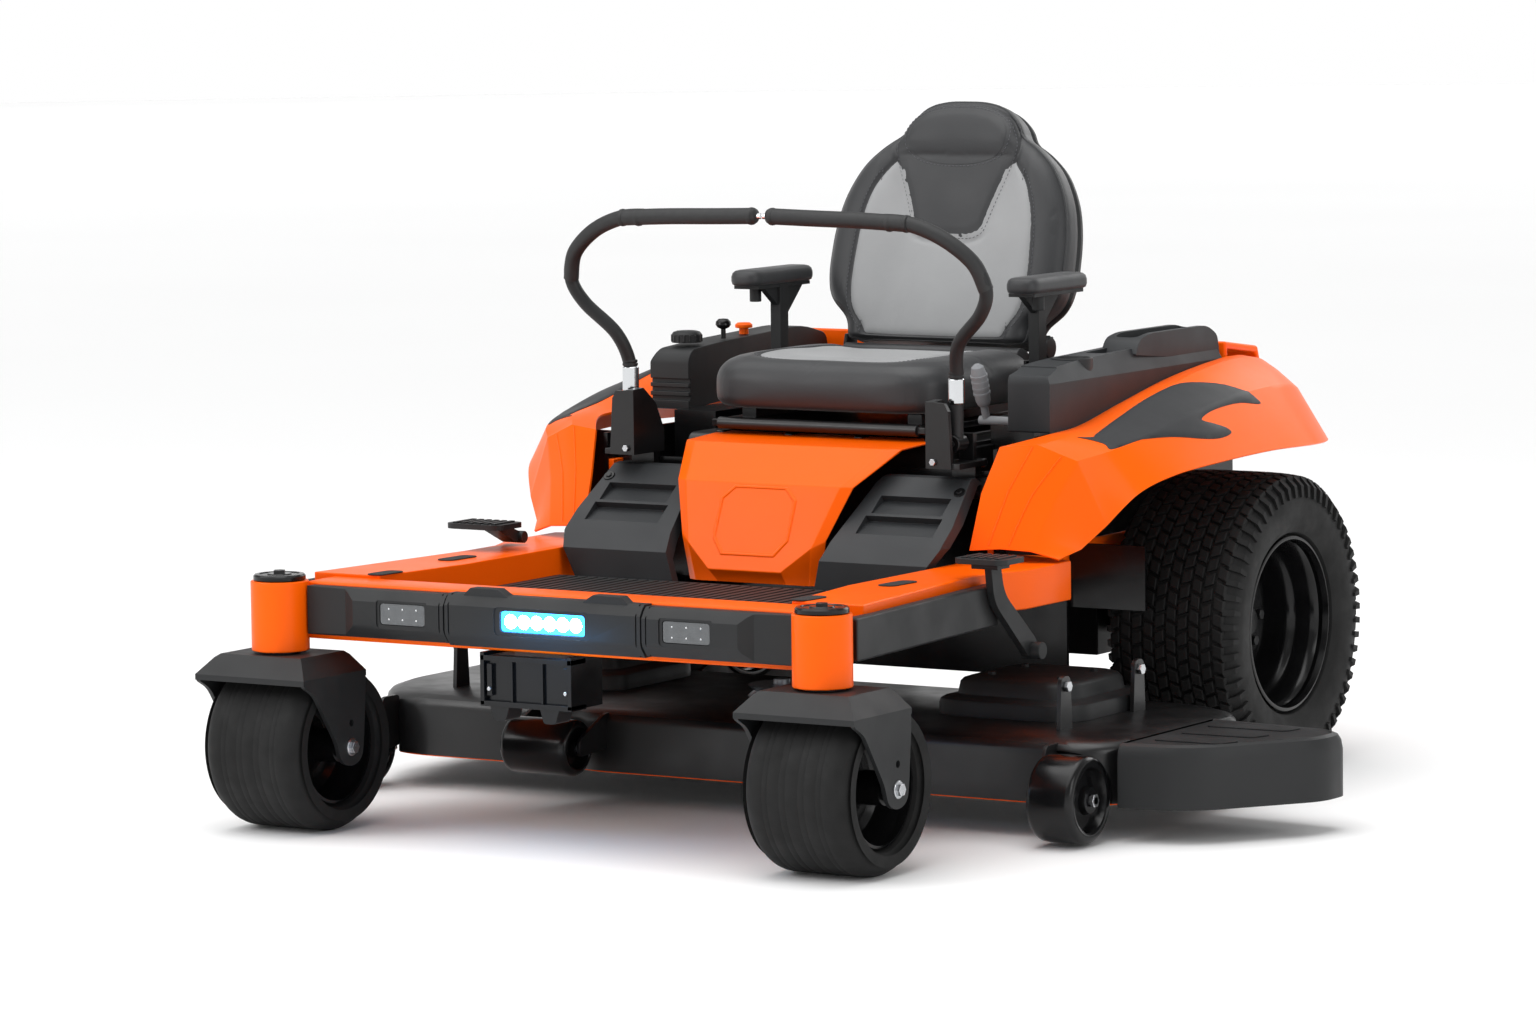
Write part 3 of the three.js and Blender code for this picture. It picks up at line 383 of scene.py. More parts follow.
def gloss_paint():
    """Bright orange powder coat, baked on steel and plastic: a wet gloss over a faint orange-peel ripple."""
    material, tree, place = start("orange_powder_coat")
    drift = pattern(tree, place, 160)
    peel = pattern(tree, place, 2.6, 1.0)
    shader = add_node(
        tree,
        "ShaderNodeBsdfPrincipled",
        [
            ("Base Color", two_tone(tree, drift, "#ff6200", "#f85d00")),
            ("Roughness", span_of(tree, pattern(tree, place, 60, 4.0), 0.3, 0.4)),
        ],
        Specular_IOR_Level=0.12,
        Coat_Weight=0.05,
        Coat_Roughness=0.12,
        Coat_IOR=1.45,
    )
    close(tree, shader, relief(tree, peel, 0.05, 0.35))
    return material


def moulded_plastic(name, light, dark, grain=0.7, low=0.42, high=0.58):
    """Injection-moulded polypropylene with a spark-eroded grain: a dry, even sheen broken by fine pits."""
    material, tree, place = start(name)
    pits = pattern(tree, place, grain, 3.0)
    cloud = pattern(tree, place, 90, 3.0)
    shader = add_node(
        tree,
        "ShaderNodeBsdfPrincipled",
        [
            ("Base Color", two_tone(tree, cloud, dark, light)),
            ("Roughness", span_of(tree, cloud, low, high, 0.3, 0.7)),
        ],
        IOR=1.49,
        Specular_IOR_Level=0.32,
    )
    close(tree, shader, relief(tree, pits, 0.06, 0.6))
    return material


def satin_steel():
    """Black powder coat on pressed steel, satin: broad soft highlights and a fine ripple."""
    material, tree, place = start("black_powder_coat")
    cloud = pattern(tree, place, 70, 4.0)
    shader = add_node(
        tree,
        "ShaderNodeBsdfPrincipled",
        [
            ("Base Color", two_tone(tree, cloud, "#0e0e0f", "#161617")),
            ("Roughness", span_of(tree, cloud, 0.28, 0.42, 0.3, 0.7)),
        ],
        IOR=1.5,
        Specular_IOR_Level=0.4,
        Coat_Weight=0.1,
        Coat_Roughness=0.2,
    )
    close(tree, shader, relief(tree, pattern(tree, place, 1.8, 2.0), 0.06, 0.35))
    return material


def tyre_rubber():
    """Vulcanised carbon-black rubber: a dry grey bloom on the high parts and a slightly rough skin."""
    material, tree, place = start("tyre_rubber")
    bloom = pattern(tree, place, 45, 5.0, 0.6)
    skin = pattern(tree, place, 1.3, 3.0)
    shader = add_node(
        tree,
        "ShaderNodeBsdfPrincipled",
        [
            ("Base Color", two_tone(tree, bloom, "#0c0c0c", "#131313")),
            ("Roughness", span_of(tree, bloom, 0.62, 0.82, 0.3, 0.7)),
        ],
        IOR=1.52,
        Specular_IOR_Level=0.3,
    )
    close(tree, shader, relief(tree, skin, 0.12, 0.6))
    return material


def soft_grip():
    """Extruded rubber sleeve on the levers: matt black with a faint lengthwise drawing texture."""
    material, tree, place = start("sleeve_rubber")
    shader = add_node(
        tree,
        "ShaderNodeBsdfPrincipled",
        [
            ("Base Color", two_tone(tree, pattern(tree, place, 30, 3.0), "#121314", "#1b1c1d")),
            ("Roughness", span_of(tree, pattern(tree, place, 12, 3.0), 0.5, 0.66)),
        ],
        IOR=1.52,
    )
    close(tree, shader, relief(tree, pattern(tree, place, 0.9, 2.0), 0.08, 0.5))
    return material


def vinyl(name, light, dark, cell=1.5, low=0.4, high=0.55):
    """Upholstery vinyl, embossed with a hide grain: small rounded cells and a soft sheen on the bends."""
    material, tree, place = start(name)
    cells = add_node(
        tree, "ShaderNodeTexVoronoi", [("Vector", place)], Scale=1000 / cell, feature="SMOOTH_F1",
        Smoothness=0.6
    ).outputs["Distance"]
    creases = pattern(tree, place, 26, 4.0, 0.6)
    cloud = pattern(tree, place, 120, 3.0)
    shader = add_node(
        tree,
        "ShaderNodeBsdfPrincipled",
        [
            ("Base Color", two_tone(tree, cloud, dark, light)),
            ("Roughness", span_of(tree, cloud, low, high, 0.3, 0.7)),
        ],
        IOR=1.48,
        Sheen_Weight=0.12,
        Sheen_Roughness=0.4,
    )
    fine = relief(tree, cells, 0.16, 0.5)
    close(tree, shader, relief(tree, creases, 0.9, 0.35, fine))
    return material


def bare_metal(name, code, low, high, fine=1.2):
    """Zinc-plated or ground steel: bright, with a faint directional scuff."""
    material, tree, place = start(name)
    scuff = pattern(tree, place, fine, 4.0)
    shader = add_node(
        tree,
        "ShaderNodeBsdfPrincipled",
        [("Roughness", span_of(tree, pattern(tree, place, 15, 4.0), low, high))],
        Base_Color=linear(code),
        Metallic=1.0,
    )
    close(tree, shader, relief(tree, scuff, 0.02, 0.4))
    return material


def clear_lens():
    """Moulded polycarbonate lens over a metallised reflector: grey, glossy, with a fine prism grid."""
    material, tree, place = start("lamp_lens")
    prisms = add_node(tree, "ShaderNodeTexVoronoi", [("Vector", place)], Scale=1000 / 4.0, Randomness=0.15)
    shader = add_node(
        tree,
        "ShaderNodeBsdfPrincipled",
        [("Base Color", two_tone(tree, pattern(tree, place, 14, 2.0), "#34373a", "#4d5154"))],
        Roughness=0.16,
        Coat_Weight=1.0,
        Coat_Roughness=0.03,
    )
    close(tree, shader, relief(tree, prisms.outputs["Distance"], 0.5, 0.5))
    return material


def diode_light(name, code, strength):
    """A lit diode behind its lens: the colour it throws, bright enough to bloom."""
    material, tree, _ = start(name)
    close(tree, add_node(tree, "ShaderNodeEmission", Color=linear(code), Strength=strength))
    return material


def grit_pad():
    """Anti-slip grit glued on the rails: coarse black mineral grains in a resin."""
    material, tree, place = start("grit_pad")
    grains = add_node(tree, "ShaderNodeTexVoronoi", [("Vector", place)], Scale=1000 / 3.0).outputs["Distance"]
    shader = add_node(
        tree,
        "ShaderNodeBsdfPrincipled",
        [("Base Color", two_tone(tree, grains, "#2c2d2e", "#0c0c0d"))],
        Roughness=0.75,
    )
    close(tree, shader, relief(tree, grains, 1.2, 0.9))
    return material


class Shelf:
    """The finished materials, made once."""

    made = {}

    makers = {
        "paint": gloss_paint,
        "black": lambda: moulded_plastic("black_moulding", "#232425", "#1b1c1d"),
        "grey": lambda: moulded_plastic("grey_moulding", "#2e3032", "#26282a", 0.8),
        "insert": lambda: moulded_plastic("grey_insert", "#2c2d2f", "#262729", 0.8),
        "steel": satin_steel,
        "gloss_black": lambda: moulded_plastic("gloss_black", "#101011", "#0b0b0c", 3.0, 0.14, 0.26),
        "tyre": tyre_rubber,
        "sleeve": soft_grip,
        "dark_vinyl": lambda: vinyl("dark_vinyl", "#2b2c2e", "#232426"),
        "pale_vinyl": lambda: vinyl("pale_vinyl", "#9a9b9c", "#868788", 1.2, 0.5, 0.62),
        "thread": lambda: vinyl("stitch_thread", "#55565a", "#45464a", 0.5, 0.6, 0.7),
        "zinc": lambda: bare_metal("zinc_plate", "#c3c5c8", 0.22, 0.36),
        "chrome": lambda: bare_metal("chrome_plate", "#dfe1e3", 0.06, 0.12),
        "blade": lambda: bare_metal("ground_steel", "#8d9094", 0.3, 0.5, 0.8),
        "lens": clear_lens,
        "glow": lambda: diode_light("diode_core", "#e9f4ff", 30.0),
        "halo": lambda: diode_light("diode_halo", "#2b95ff", 9.0),
        "grit": grit_pad,
        "pale_grip": lambda: moulded_plastic("pale_grip", "#8b8d90", "#77797c", 0.8),
    }

    @classmethod
    def get(cls, name):
        if name not in cls.made:
            cls.made[name] = cls.makers[name]()
        return cls.made[name]


def shelf(*names):
    return [Shelf.get(name) for name in names]


# ---- wheels ------------------------------------------------------------------------------------
def tyre_section(bead, lip, half, radius, shoulder, steps=6):
    """A tyre's outline: beads, sidewalls and a crown with round shoulders, as (radius, distance)."""
    wall = [(bead, half - 32), (lip + 2, half - 30), (lip + 7, half - 14), (lip + 22, half - 4)]
    wall += [((lip + radius) / 2 + 6, half), (radius - shoulder * 1.1, half - 2)]
    for i in range(1, steps + 1):
        turn = math.pi / 2 * i / steps
        wall.append((radius - shoulder * (1 - math.sin(turn)), half - 3 - shoulder * (1 - math.cos(turn))))
    wall += [(radius, half * 0.35), (radius, 0)]
    return wall + [(r, -a) for r, a in reversed(wall[:-1])]


def add_tread(bm, centre, radius, half, settings):
    """Turf tread: rows of small blocks whose pitch line swings from side to side."""
    rows = settings.tread_rows
    count = settings.tread_blocks
    depth = settings.tread_depth * 1000
    width = 2 * half / rows
    pitch = math.tau / count
    for row in range(rows):
        a = -half + width * (row + 0.5)
        swing = 0.35 * abs(a) / half + 0.5 * (row % 2)
        skew = 0.11 if row % 2 else -0.11
        for k in range(count):
            middle_angle = pitch * (k + swing)
            corners = []
            for height, share in ((-1.5, 1.0), (depth - 0.8, 0.92), (depth, 0.78)):
                for du, dv in ((-1, -1), (1, -1), (1, 1), (-1, 1)):
                    across = a + du * share * width * 0.42
                    turn = middle_angle + pitch * (dv * share * 0.40 + du * skew)
                    drop = 5.0 * (abs(across) / half) ** 4
                    r = radius + height - drop
                    corners.append(
                        bm.verts.new(at(centre[0] + across, centre[1] + r * math.cos(turn),
                            centre[2] + r * math.sin(turn)))
                    )
            bm.faces.new(corners[8:12])
            for low in (0, 4):
                for i in range(4):
                    j = (i + 1) % 4
                    bm.faces.new((corners[low + i], corners[low + j], corners[low + 4 + j],
                            corners[low + 4 + i]))


def add_shoulder_lugs(bm, centre, radius, half, count):
    """Short ribs that run from the tread down each sidewall."""
    for side in (1, -1):
        for k in range(count):
            turn = math.tau * (k + 0.25 * side) / count
            swing = math.pi / count * 0.42
            rings = []
            for r, a, share in ((radius + 1, half - 17, 1.0), (radius - 15, half - 1.0, 0.95),
                (radius - 36, half + 1.0, 0.7)):
                for d in (-1, 1):
                    angle = turn + d * swing * share
                    rings.append(
                        bm.verts.new(
                            at(centre[0] + side * a, centre[1] + r * math.cos(angle),
                            centre[2] + r * math.sin(angle))
                        )
                    )
            deep = [
                bm.verts.new(v.co - Vector((side * 0.006, 0, 0)) - (v.co - at(*centre)).normalized() * 0.002)
                for v in rings
            ]
            for i in (0, 2):
                bm.faces.new((rings[i], rings[i + 1], rings[i + 3], rings[i + 2]))
                bm.faces.new((rings[i], rings[i + 2], deep[i + 2], deep[i]))
                bm.faces.new((rings[i + 1], deep[i + 1], deep[i + 3], rings[i + 3]))
            bm.faces.new((rings[0], deep[0], deep[1], rings[1]))
            bm.faces.new((rings[4], rings[5], deep[5], deep[4]))


def wheel_size(tyre):
    low, high = span(tyre, 0)
    centre = [(low + high) / 2, sum(span(tyre, 1)) / 2, sum(span(tyre, 2)) / 2]
    return centre, (high - low) / 2, (span(tyre, 2)[1] - span(tyre, 2)[0]) / 2


def make_rear_wheel(hand, side, settings):
    """A drive wheel: a treaded tyre on a dished black rim, with five wheel bolts."""
    centre, half, radius = wheel_size(f"rear_tyre_{hand}")
    lip = (span(f"rear_rim_{hand}", 2)[1] - span(f"rear_rim_{hand}", 2)[0]) / 2
    bm = bmesh.new()
    carcass = radius - settings.tread_depth * 1000 - 0.6
    add_lathe(bm, tyre_section(lip - 8, lip, half - 3.2, carcass, 34), "x", centre, 160)
    add_tread(bm, centre, carcass, half - 16, settings)
    add_shoulder_lugs(bm, centre, carcass, half - 1.6, settings.tread_blocks)
    add_piece(bm, f"tyre_rear_{hand}", "tyre", f"rear_wheel_{hand}", "tyre_rubber", f"rear_tyre_{hand}",
        angle=28)

    seat = half - 30
    profile = [(0, 33), (24, 33), (26, 31), (26, 26), (60, 26), (62, 23), (62, -8), (66, -12)]
    profile += [(96, -14), (104, -8), (118, -6), (126, -12), (129, -6), (131, 34), (135, 44), (139, 48)]
    profile += [(141, 54), (143, 78), (148, 90), (151, 93), (lip - 3, seat + 3), (lip, seat + 6),
        (lip, seat + 11)]
    profile += [(lip - 2, seat + 12), (lip - 6, seat + 12), (lip - 9, seat + 1), (lip - 8.5, seat),
        (lip - 8.5, -seat)]
    profile += [(lip - 9, -seat - 1), (lip - 6, -seat - 12), (lip - 2, -seat - 12), (lip, -seat - 11),
        (lip, -seat - 6)]
    profile += [(lip - 3, -seat - 3), (150, -seat), (144, -seat + 8), (142, -40), (136, -30), (70, -26),
        (62, -33), (0, -33)]
    bm = bmesh.new()
    add_lathe(bm, [(r, a * side) for r, a in profile], "x", centre, 128)
    for k in range(5):
        turn = math.tau * (k + 0.15) / 5
        bolt = [centre[0], centre[1] + 43 * math.cos(turn), centre[2] + 43 * math.sin(turn)]
        add_hex(bm, "x", 9.5, 25 * side, 33.5 * side, bolt, 1)
    add_piece(bm, f"rim_rear_{hand}", "gloss_black steel", f"rear_wheel_{hand}", "black_steel",
        f"rear_rim_{hand}", angle=30)


def make_caster_wheel(hand):
    """A front wheel: a smooth tyre with fine lines round its crown, on a dished rim."""
    centre, half, radius = wheel_size(f"caster_tyre_{hand}")
    lip = (span(f"caster_rim_{hand}", 2)[1] - span(f"caster_rim_{hand}", 2)[0]) / 2
    body = f"caster_wheel_{hand}"
    bm = bmesh.new()
    section = tyre_section(lip - 7, lip, half - 0.4, radius - 0.3, 34, 8)
    grooved = []
    for (r, a), (r2, a2) in zip(section, section[1:] + section[:1]):
        grooved.append((r, a))
        if r > radius - 0.5 and r2 > radius - 0.5:
            for step in (1, 2):
                x = a + (a2 - a) * step / 3
                grooved += [(r, x + math.copysign(0.7, a - a2)), (r - 0.35, x),
                    (r, x - math.copysign(0.7, a - a2))]
    add_lathe(bm, grooved, "x", centre, 144)
    add_piece(bm, f"tyre_caster_{hand}", "tyre", body, "tyre_rubber", f"caster_tyre_{hand}", angle=30)

    seat = half - 30
    bore = 11.6
    outer = [(bore, half - 7), (24, half - 7), (28, half - 10), (30, 40), (34, 30), (52, 22), (62, 24),
        (72, 20), (82, 30)]
    outer += [(86, 52), (90, 66), (93, seat), (lip - 2, seat + 3), (lip, seat + 6), (lip, seat + 11),
        (lip - 5, seat + 12)]
    outer += [(lip - 7.5, seat)]
    profile = outer + [(r, -a) for r, a in reversed(outer)]
    bm = bmesh.new()
    add_lathe(bm, profile, "x", centre, 96)
    add_piece(bm, f"rim_caster_{hand}", "gloss_black", body, "black_steel", f"caster_rim_{hand}", angle=30)


def rounded_outline(points, radius, steps=5):
    """A polygon's outline with its corners rounded; radius is one number or one for each corner."""
    count = len(points)
    radii = radius if isinstance(radius, (list, tuple)) else [radius] * count
    line = []
    for i, (u, v) in enumerate(points):
        here = Vector((u, v))
        before = Vector(points[i - 1]) - here
        after = Vector(points[(i + 1) % count]) - here
        r = min(radii[i], before.length * 0.48, after.length * 0.48)
        if r < 0.3:
            line.append((u, v))
            continue
        first, last = here + before.normalized() * r, here + after.normalized() * r
        for k in range(steps + 1):
            t = k / steps
            q = first * (1 - t) ** 2 + here * 2 * t * (1 - t) + last * t**2
            line.append((q.x, q.y))
    return line


def box_outline(u0, u1, v0, v1):
    """A rectangle's four corners."""
    return [(u0, v0), (u1, v0), (u1, v1), (u0, v1)]


def prism_object(name, outline, axis, start_at, end_at, materials=()):
    """An outline pulled along an axis, as an object of its own."""
    bm = bmesh.new()
    add_prism(bm, outline, axis, start_at, end_at)
    return object_of(name, bm, materials)


def loft_object(name, levels, x):
    """A block through rectangles; each level is (height, half width, front, rear), all in millimetres."""
    bm = bmesh.new()
    rings = []
    for z, half, front, rear in levels:
        corners = [(x - half, front), (x + half, front), (x + half, rear), (x - half, rear)]
        rings.append([bm.verts.new(at(u, v, z)) for u, v in corners])
    bridge(bm, rings)
    return object_of(name, bm, [])


def make_fork(hand, settings):
    """A caster fork: a hollowed crown with two cheek plates, a spindle, its cap and the axle bolt."""
    node = f"caster_fork_{hand}"
    wheel, half, radius = wheel_size(f"caster_tyre_{hand}")
    low, high = span(node, 0)
    x, y = (low + high) / 2, wheel[1] - 43
    inner, outer = half + 4, half + 12
    top = 2 * radius + 16
    crown = loft_object("fork_" + hand, [
        (top - 44, outer, y - 94, y + 90),
        (top - 34, outer, y - 94, y + 90),
        (top - 6, outer - 23, y - 68, y + 74),
        (top, outer - 31, y - 60, y + 68),
    ], x)
    hollow = loft_object("hollow", [
        (top - 80, inner, y - 86, y + 120),
        (top - 36, inner, y - 86, y + 120),
        (top - 10, inner - 25, y - 60, y + 120),
    ], x)
    cheek = [(-92, top - 34), (-92, top - 46), (-62, top - 62), (2, 158), (12, 124), (44, 113), (74, 124),
        (80, 156)]
    cheek += [(88, top - 64), (88, top - 34)]
    cheek = [(y + u, v) for u, v in rounded_outline(cheek, [0, 8, 14, 22, 22, 22, 16, 16, 12, 0])]
    for s in (1, -1):
        plate = prism_object("cheek", cheek, "x", x + s * inner, x + s * outer)
        cut_with(crown, plate, "UNION")
    fork = cut_with(crown, hollow)
    bm = bmesh.new()
    add_rod(bm, "x", 6.5, -outer - 4, outer + 4, [x, wheel[1] + 1, wheel[2] + 42], 20)
    cut_with(fork, object_of("hole", bm, []))
    repaint(fork, "black")
    soften(fork, settings.fork_edge * 1000, 3, 28)
    fit(fork, f"caster_{hand}", "black_steel", node)

    post_top = span("front_beam", 2)[1]
    bm = bmesh.new()
    add_rod(bm, "z", 24, top - 2, post_top + 4, [x, y, 0], 48, 0)
    add_lathe(bm, [(0, top - 0.5), (33, top - 0.5), (33, top + 2.5), (31, top + 3), (0, top + 3)], "z",
        [x, y, 0], 48, 0)
    cap = [(0, post_top + 0.8), (44, post_top + 0.8), (45.5, post_top + 2), (45.5, post_top + 8),
        (43, post_top + 11)]
    cap += [(36, post_top + 11.5), (34, post_top + 10), (22, post_top + 10), (20, post_top + 12),
        (0, post_top + 12)]
    add_lathe(bm, cap, "z", [x, y, 0], 64, 1)
    add_hex(bm, "z", 11, post_top + 11, post_top + 17.5, [x, y, 0], 0)
    hub = [x, wheel[1], wheel[2]]
    for s in (1, -1):
        add_rod(bm, "x", 15, s * (outer - 1), s * (outer + 3), hub, 32, 2)
        add_hex(bm, "x", 11, s * (outer + 2), s * (outer + 9.6), hub, 2)
        add_rod(bm, "x", 19, s * (inner - 5), s * inner, hub, 32, 2)
    add_rod(bm, "x", 10, -outer, outer, hub, 24, 2)
    add_piece(bm, f"spindle_{hand}", "steel gloss_black zinc", f"caster_{hand}", "black_steel", angle=30)


# ---- frame and bumper --------------------------------------------------------------------------
def make_front_beam():
    """The cross beam and the two round posts that the caster spindles turn in."""
    low, high = span("front_beam", 2)
    y0, y1 = span("front_beam", 1)
    post_y = y0 + 50.5
    bm = bmesh.new()
    for side in SIDES.values():
        x = side * (span("front_beam", 0)[1] - 50.5)
        pipe = [(30, low), (49, low), (50.5, low + 1.5), (50.5, high - 1.5), (49, high), (30, high)]
        add_lathe(bm, pipe, "z", [x, post_y, 0], 96)
    half = span("front_beam", 0)[1] - 101
    beam = rounded_outline(box_outline(post_y + 30, y1, high - 103, high - 3), 6, 3)
    add_prism(bm, beam, "x", -half - 12, half + 12)
    add_piece(bm, "cross_beam", "paint", "frame", "orange_paint", "front_beam", width=1.2)


def lamp_window(node):
    """A lamp's middle and half size across the front, in millimetres."""
    x, z = span(node, 0), span(node, 2)
    return (x[0] + x[1]) / 2, (z[0] + z[1]) / 2, (x[1] - x[0]) / 2, (z[1] - z[0]) / 2


def make_bumper(name, lamp, settings):
    """One section of the bumper, with a sunk window for its lamp and a shadow groove at each seam."""
    node = f"bumper_{name}"
    x0, x1 = span(node, 0)
    y0, y1 = span(node, 1)
    z0, z1 = span(node, 2)
    side = {"left": 1, "right": -1}.get(name, 0)
    section = [(y1, z0), (y0 + 16, z0), (y0 + 3, z0 + 17), (y0, z0 + 25), (y0, z1 - 19), (y0 + 8, z1 - 7),
        (y0 + 15, z1), (y1, z1)]
    obj = prism_object(node + "_shell", section, "x", x0, x1)
    if side:
        tip = x1 if side > 0 else x0
        root = x0 if side > 0 else x1
        plan = [(root, y1), (root, y0 - 1), (tip - side * 108, y0 - 1), (tip - side * 82, y0 + 13),
            (tip, y0 + 15), (tip, y1)]
        cut_with(obj, prism_object("plan", plan, "z", z0 - 5, z1 + 5), "INTERSECT")
    cx, cz, hx, hz = lamp_window(lamp)
    window = box_outline(cx - hx - 1, cx + hx + 1, cz - hz - 1, cz + hz + 1)
    hole = rounded_outline(window, 7, 4)
    cut_with(obj, prism_object("window", hole, "y", y0 - 5, span(lamp, 1)[1] + 0.5))
    frame_line = rounded_outline([(cx + (u - cx) * 1.13, cz + (v - cz) * 1.34) for u, v in window], 10, 4)
    cut_with(obj, prism_object("surround", frame_line, "y", y0 - 5, y0 + 2.2))
    for edge in (x0, x1):
        if side and abs(edge) > 300:
            continue
        inward = 1 if edge == x0 else -1
        groove = box_outline(edge + inward * 7, edge + inward * 9.5, y0 - 5, y1 - 8)
        slit = prism_object("slit", groove, "z", z0 - 5, z1 + 5)
        core = prism_object("core", box_outline(y0 + 3, y1, z0 + 3, z1 - 3), "x", edge - 40, edge + 40)
        cut_with(slit, core)
        cut_with(obj, slit)
    repaint(obj, "black")
    soften(obj, settings.bumper_edge * 1000, 3, 22)
    fit(obj, "frame", "black_plastic", node)


def make_bumper_tabs():
    """The two raised pads on the bumper's top edge, beside its seams."""
    y0, y1 = span("bumper_centre", 1)
    top = span("bumper_centre", 2)[1]
    edge = span("bumper_centre", 0)[1]
    bm = bmesh.new()
    for side in SIDES.values():
        a, b = side * (edge - 32), side * (edge - 122)
        base = [(a, top - 6), (b, top - 6), (b, top - 1), (b + side * 20, top + 11),
            (a - side * 14, top + 11), (a, top - 1)]
        add_prism(bm, base, "y", y0 + 12, y1 - 3)
    add_piece(bm, "bumper_tabs", "black", "frame", "black_plastic", width=1.5)


def make_lamps(settings):
    """The two clear headlamps and the bar of blue diodes between them."""
    for hand in SIDES:
        node = f"headlamp_{hand}"
        cx, cz, hx, hz = lamp_window(node)
        y0, y1 = span(node, 1)
        bm = bmesh.new()
        window = box_outline(cx - hx, cx + hx, cz - hz, cz + hz)
        add_prism(bm, rounded_outline(window, 6, 4), "y", y0 + 1.5, y1)
        for i in range(3):
            for j in range(2):
                spot = [cx + (i - 1) * hx * 0.62, 0, cz + (j - 0.5) * hz * 1.0]
                add_rod(bm, "y", 1.7, y0 + 0.9, y0 + 2.4, spot, 16, 1)
        add_piece(bm, f"lamp_{hand}", "lens chrome", "frame", "lamp_lens", node, width=0.6)
    cx, cz, hx, hz = lamp_window("light_bar")
    y0, y1 = span("light_bar", 1)
    bm = bmesh.new()
    window = box_outline(cx - hx, cx + hx, cz - hz, cz + hz)
    add_prism(bm, rounded_outline(window, 6, 4), "y", y0 + 4.5, y1, 0)
    count = settings.diodes
    for i in range(count):
        x = cx + (i - (count - 1) / 2) * 2 * (hx - 6) / count
        add_lathe(bm, [(0, 0.6), (10.4, 0.9), (12.2, 4.4), (0, 4.4)], "y", [x, y0, cz], 32, 1)
    add_piece(bm, "diode_bar", "halo glow", "frame", "lamp_lens", "light_bar")


def make_rails(settings):
    """The side rails with their black covers and grit pads."""
    for hand, side in SIDES.items():
        copy_of(f"rail_{hand}", f"side_rail_{hand}", "paint", settings.rail_edge * 1000, "orange_paint",
            "frame", 3)
        copy_of(f"rail_cover_{hand}", f"rail_shroud_{hand}", "black", 5, "black_plastic", "frame", 3)
        top = span(f"rail_{hand}", 2)[0] + 70
        bm = bmesh.new()
        for y, length in ((-1010, 84), (-1262, 70)):
            x = side * (455 - (y + 1010) * -0.09)
            pad = [(x - 17, y - length / 2), (x + 17, y - length / 2), (x + 22, y + length / 2),
                (x - 12, y + length / 2)]
            add_prism(bm, rounded_outline(pad, 15, 4), "z", top + 0.2, top + 2.2)
        add_piece(bm, f"grit_pads_{hand}", "grit", "frame", "black_plastic", width=0.6)


def make_shade_panels():
    """Painted shade: dark panels that close the wheel wells and the space under the floor, standing for the
    shade inside them.
    """
    bm = bmesh.new()
    for side in (1, -1):
        plan = [(406, -590), (414, -590), (414, -560), (520, -540), (520, -532), (414, -548), (414, 300),
            (406, 300)]
        add_prism(bm, [(side * x, y) for x, y in plan], "z", 444, 632)
        add_box(bm, (side * 302, side * 324), (-620, -90), (326, 372))
        add_box(bm, (side * 402, side * 556), (-310, -302), (324, 440))
        add_box(bm, (side * 292, side * 382), (-400, -70), (560, 660))
    add_box(bm, (-300, 300), (-640, -632), (330, 372))
    add_box(bm, (-404, 404), (-560, -552), (374, 590))
    add_box(bm, (-402, 402), (-322, -314), (196, 372))
    # Painted shade: the panels take the darkest black so that they read as the shade in these hollows.
    add_piece(bm, "painted_shade_panels", "gloss_black", "frame", "black_plastic", angle=30)


def make_floor_mat(settings):
    """The floor mat with ribs from front to rear."""
    x1 = span("floor_pan", 0)[1]
    y0, y1 = span("floor_pan", 1)
    z0, z1 = span("floor_pan", 2)
    bm = bmesh.new()
    edge = x1 - 26
    plan = [(-edge, y0 + 260), (-x1, y0), (x1, y0), (edge, y0 + 260), (edge, y1), (-edge, y1)]
    add_prism(bm, plan, "z", z0, z1 - 4)
    count = settings.mat_ribs
    step = 2 * (edge - 18) / count
    for k in range(count):
        x = -edge + 18 + step * (k + 0.5)
        add_box(bm, (x - step * 0.3, x + step * 0.3), (y0 + 30, y1 - 24), (z1 - 4.4, z1 - 0.8))
    add_piece(bm, "ribbed_mat", "sleeve", "frame", "mat_rubber", "floor_pan", width=1.2)


# ---- body panels -------------------------------------------------------------------------------
def cowl_edge(z):
    """Half the cowl's width at a height: slow up to the shoulder, then flaring to the top edge."""
    return 142 + (z - 391) * 0.24 + max(0, z - 570) * 0.5


COWL_LINE = [(-746, 391), (-768, 428), (-708, 566), (-613, 627), (-470, 634)]


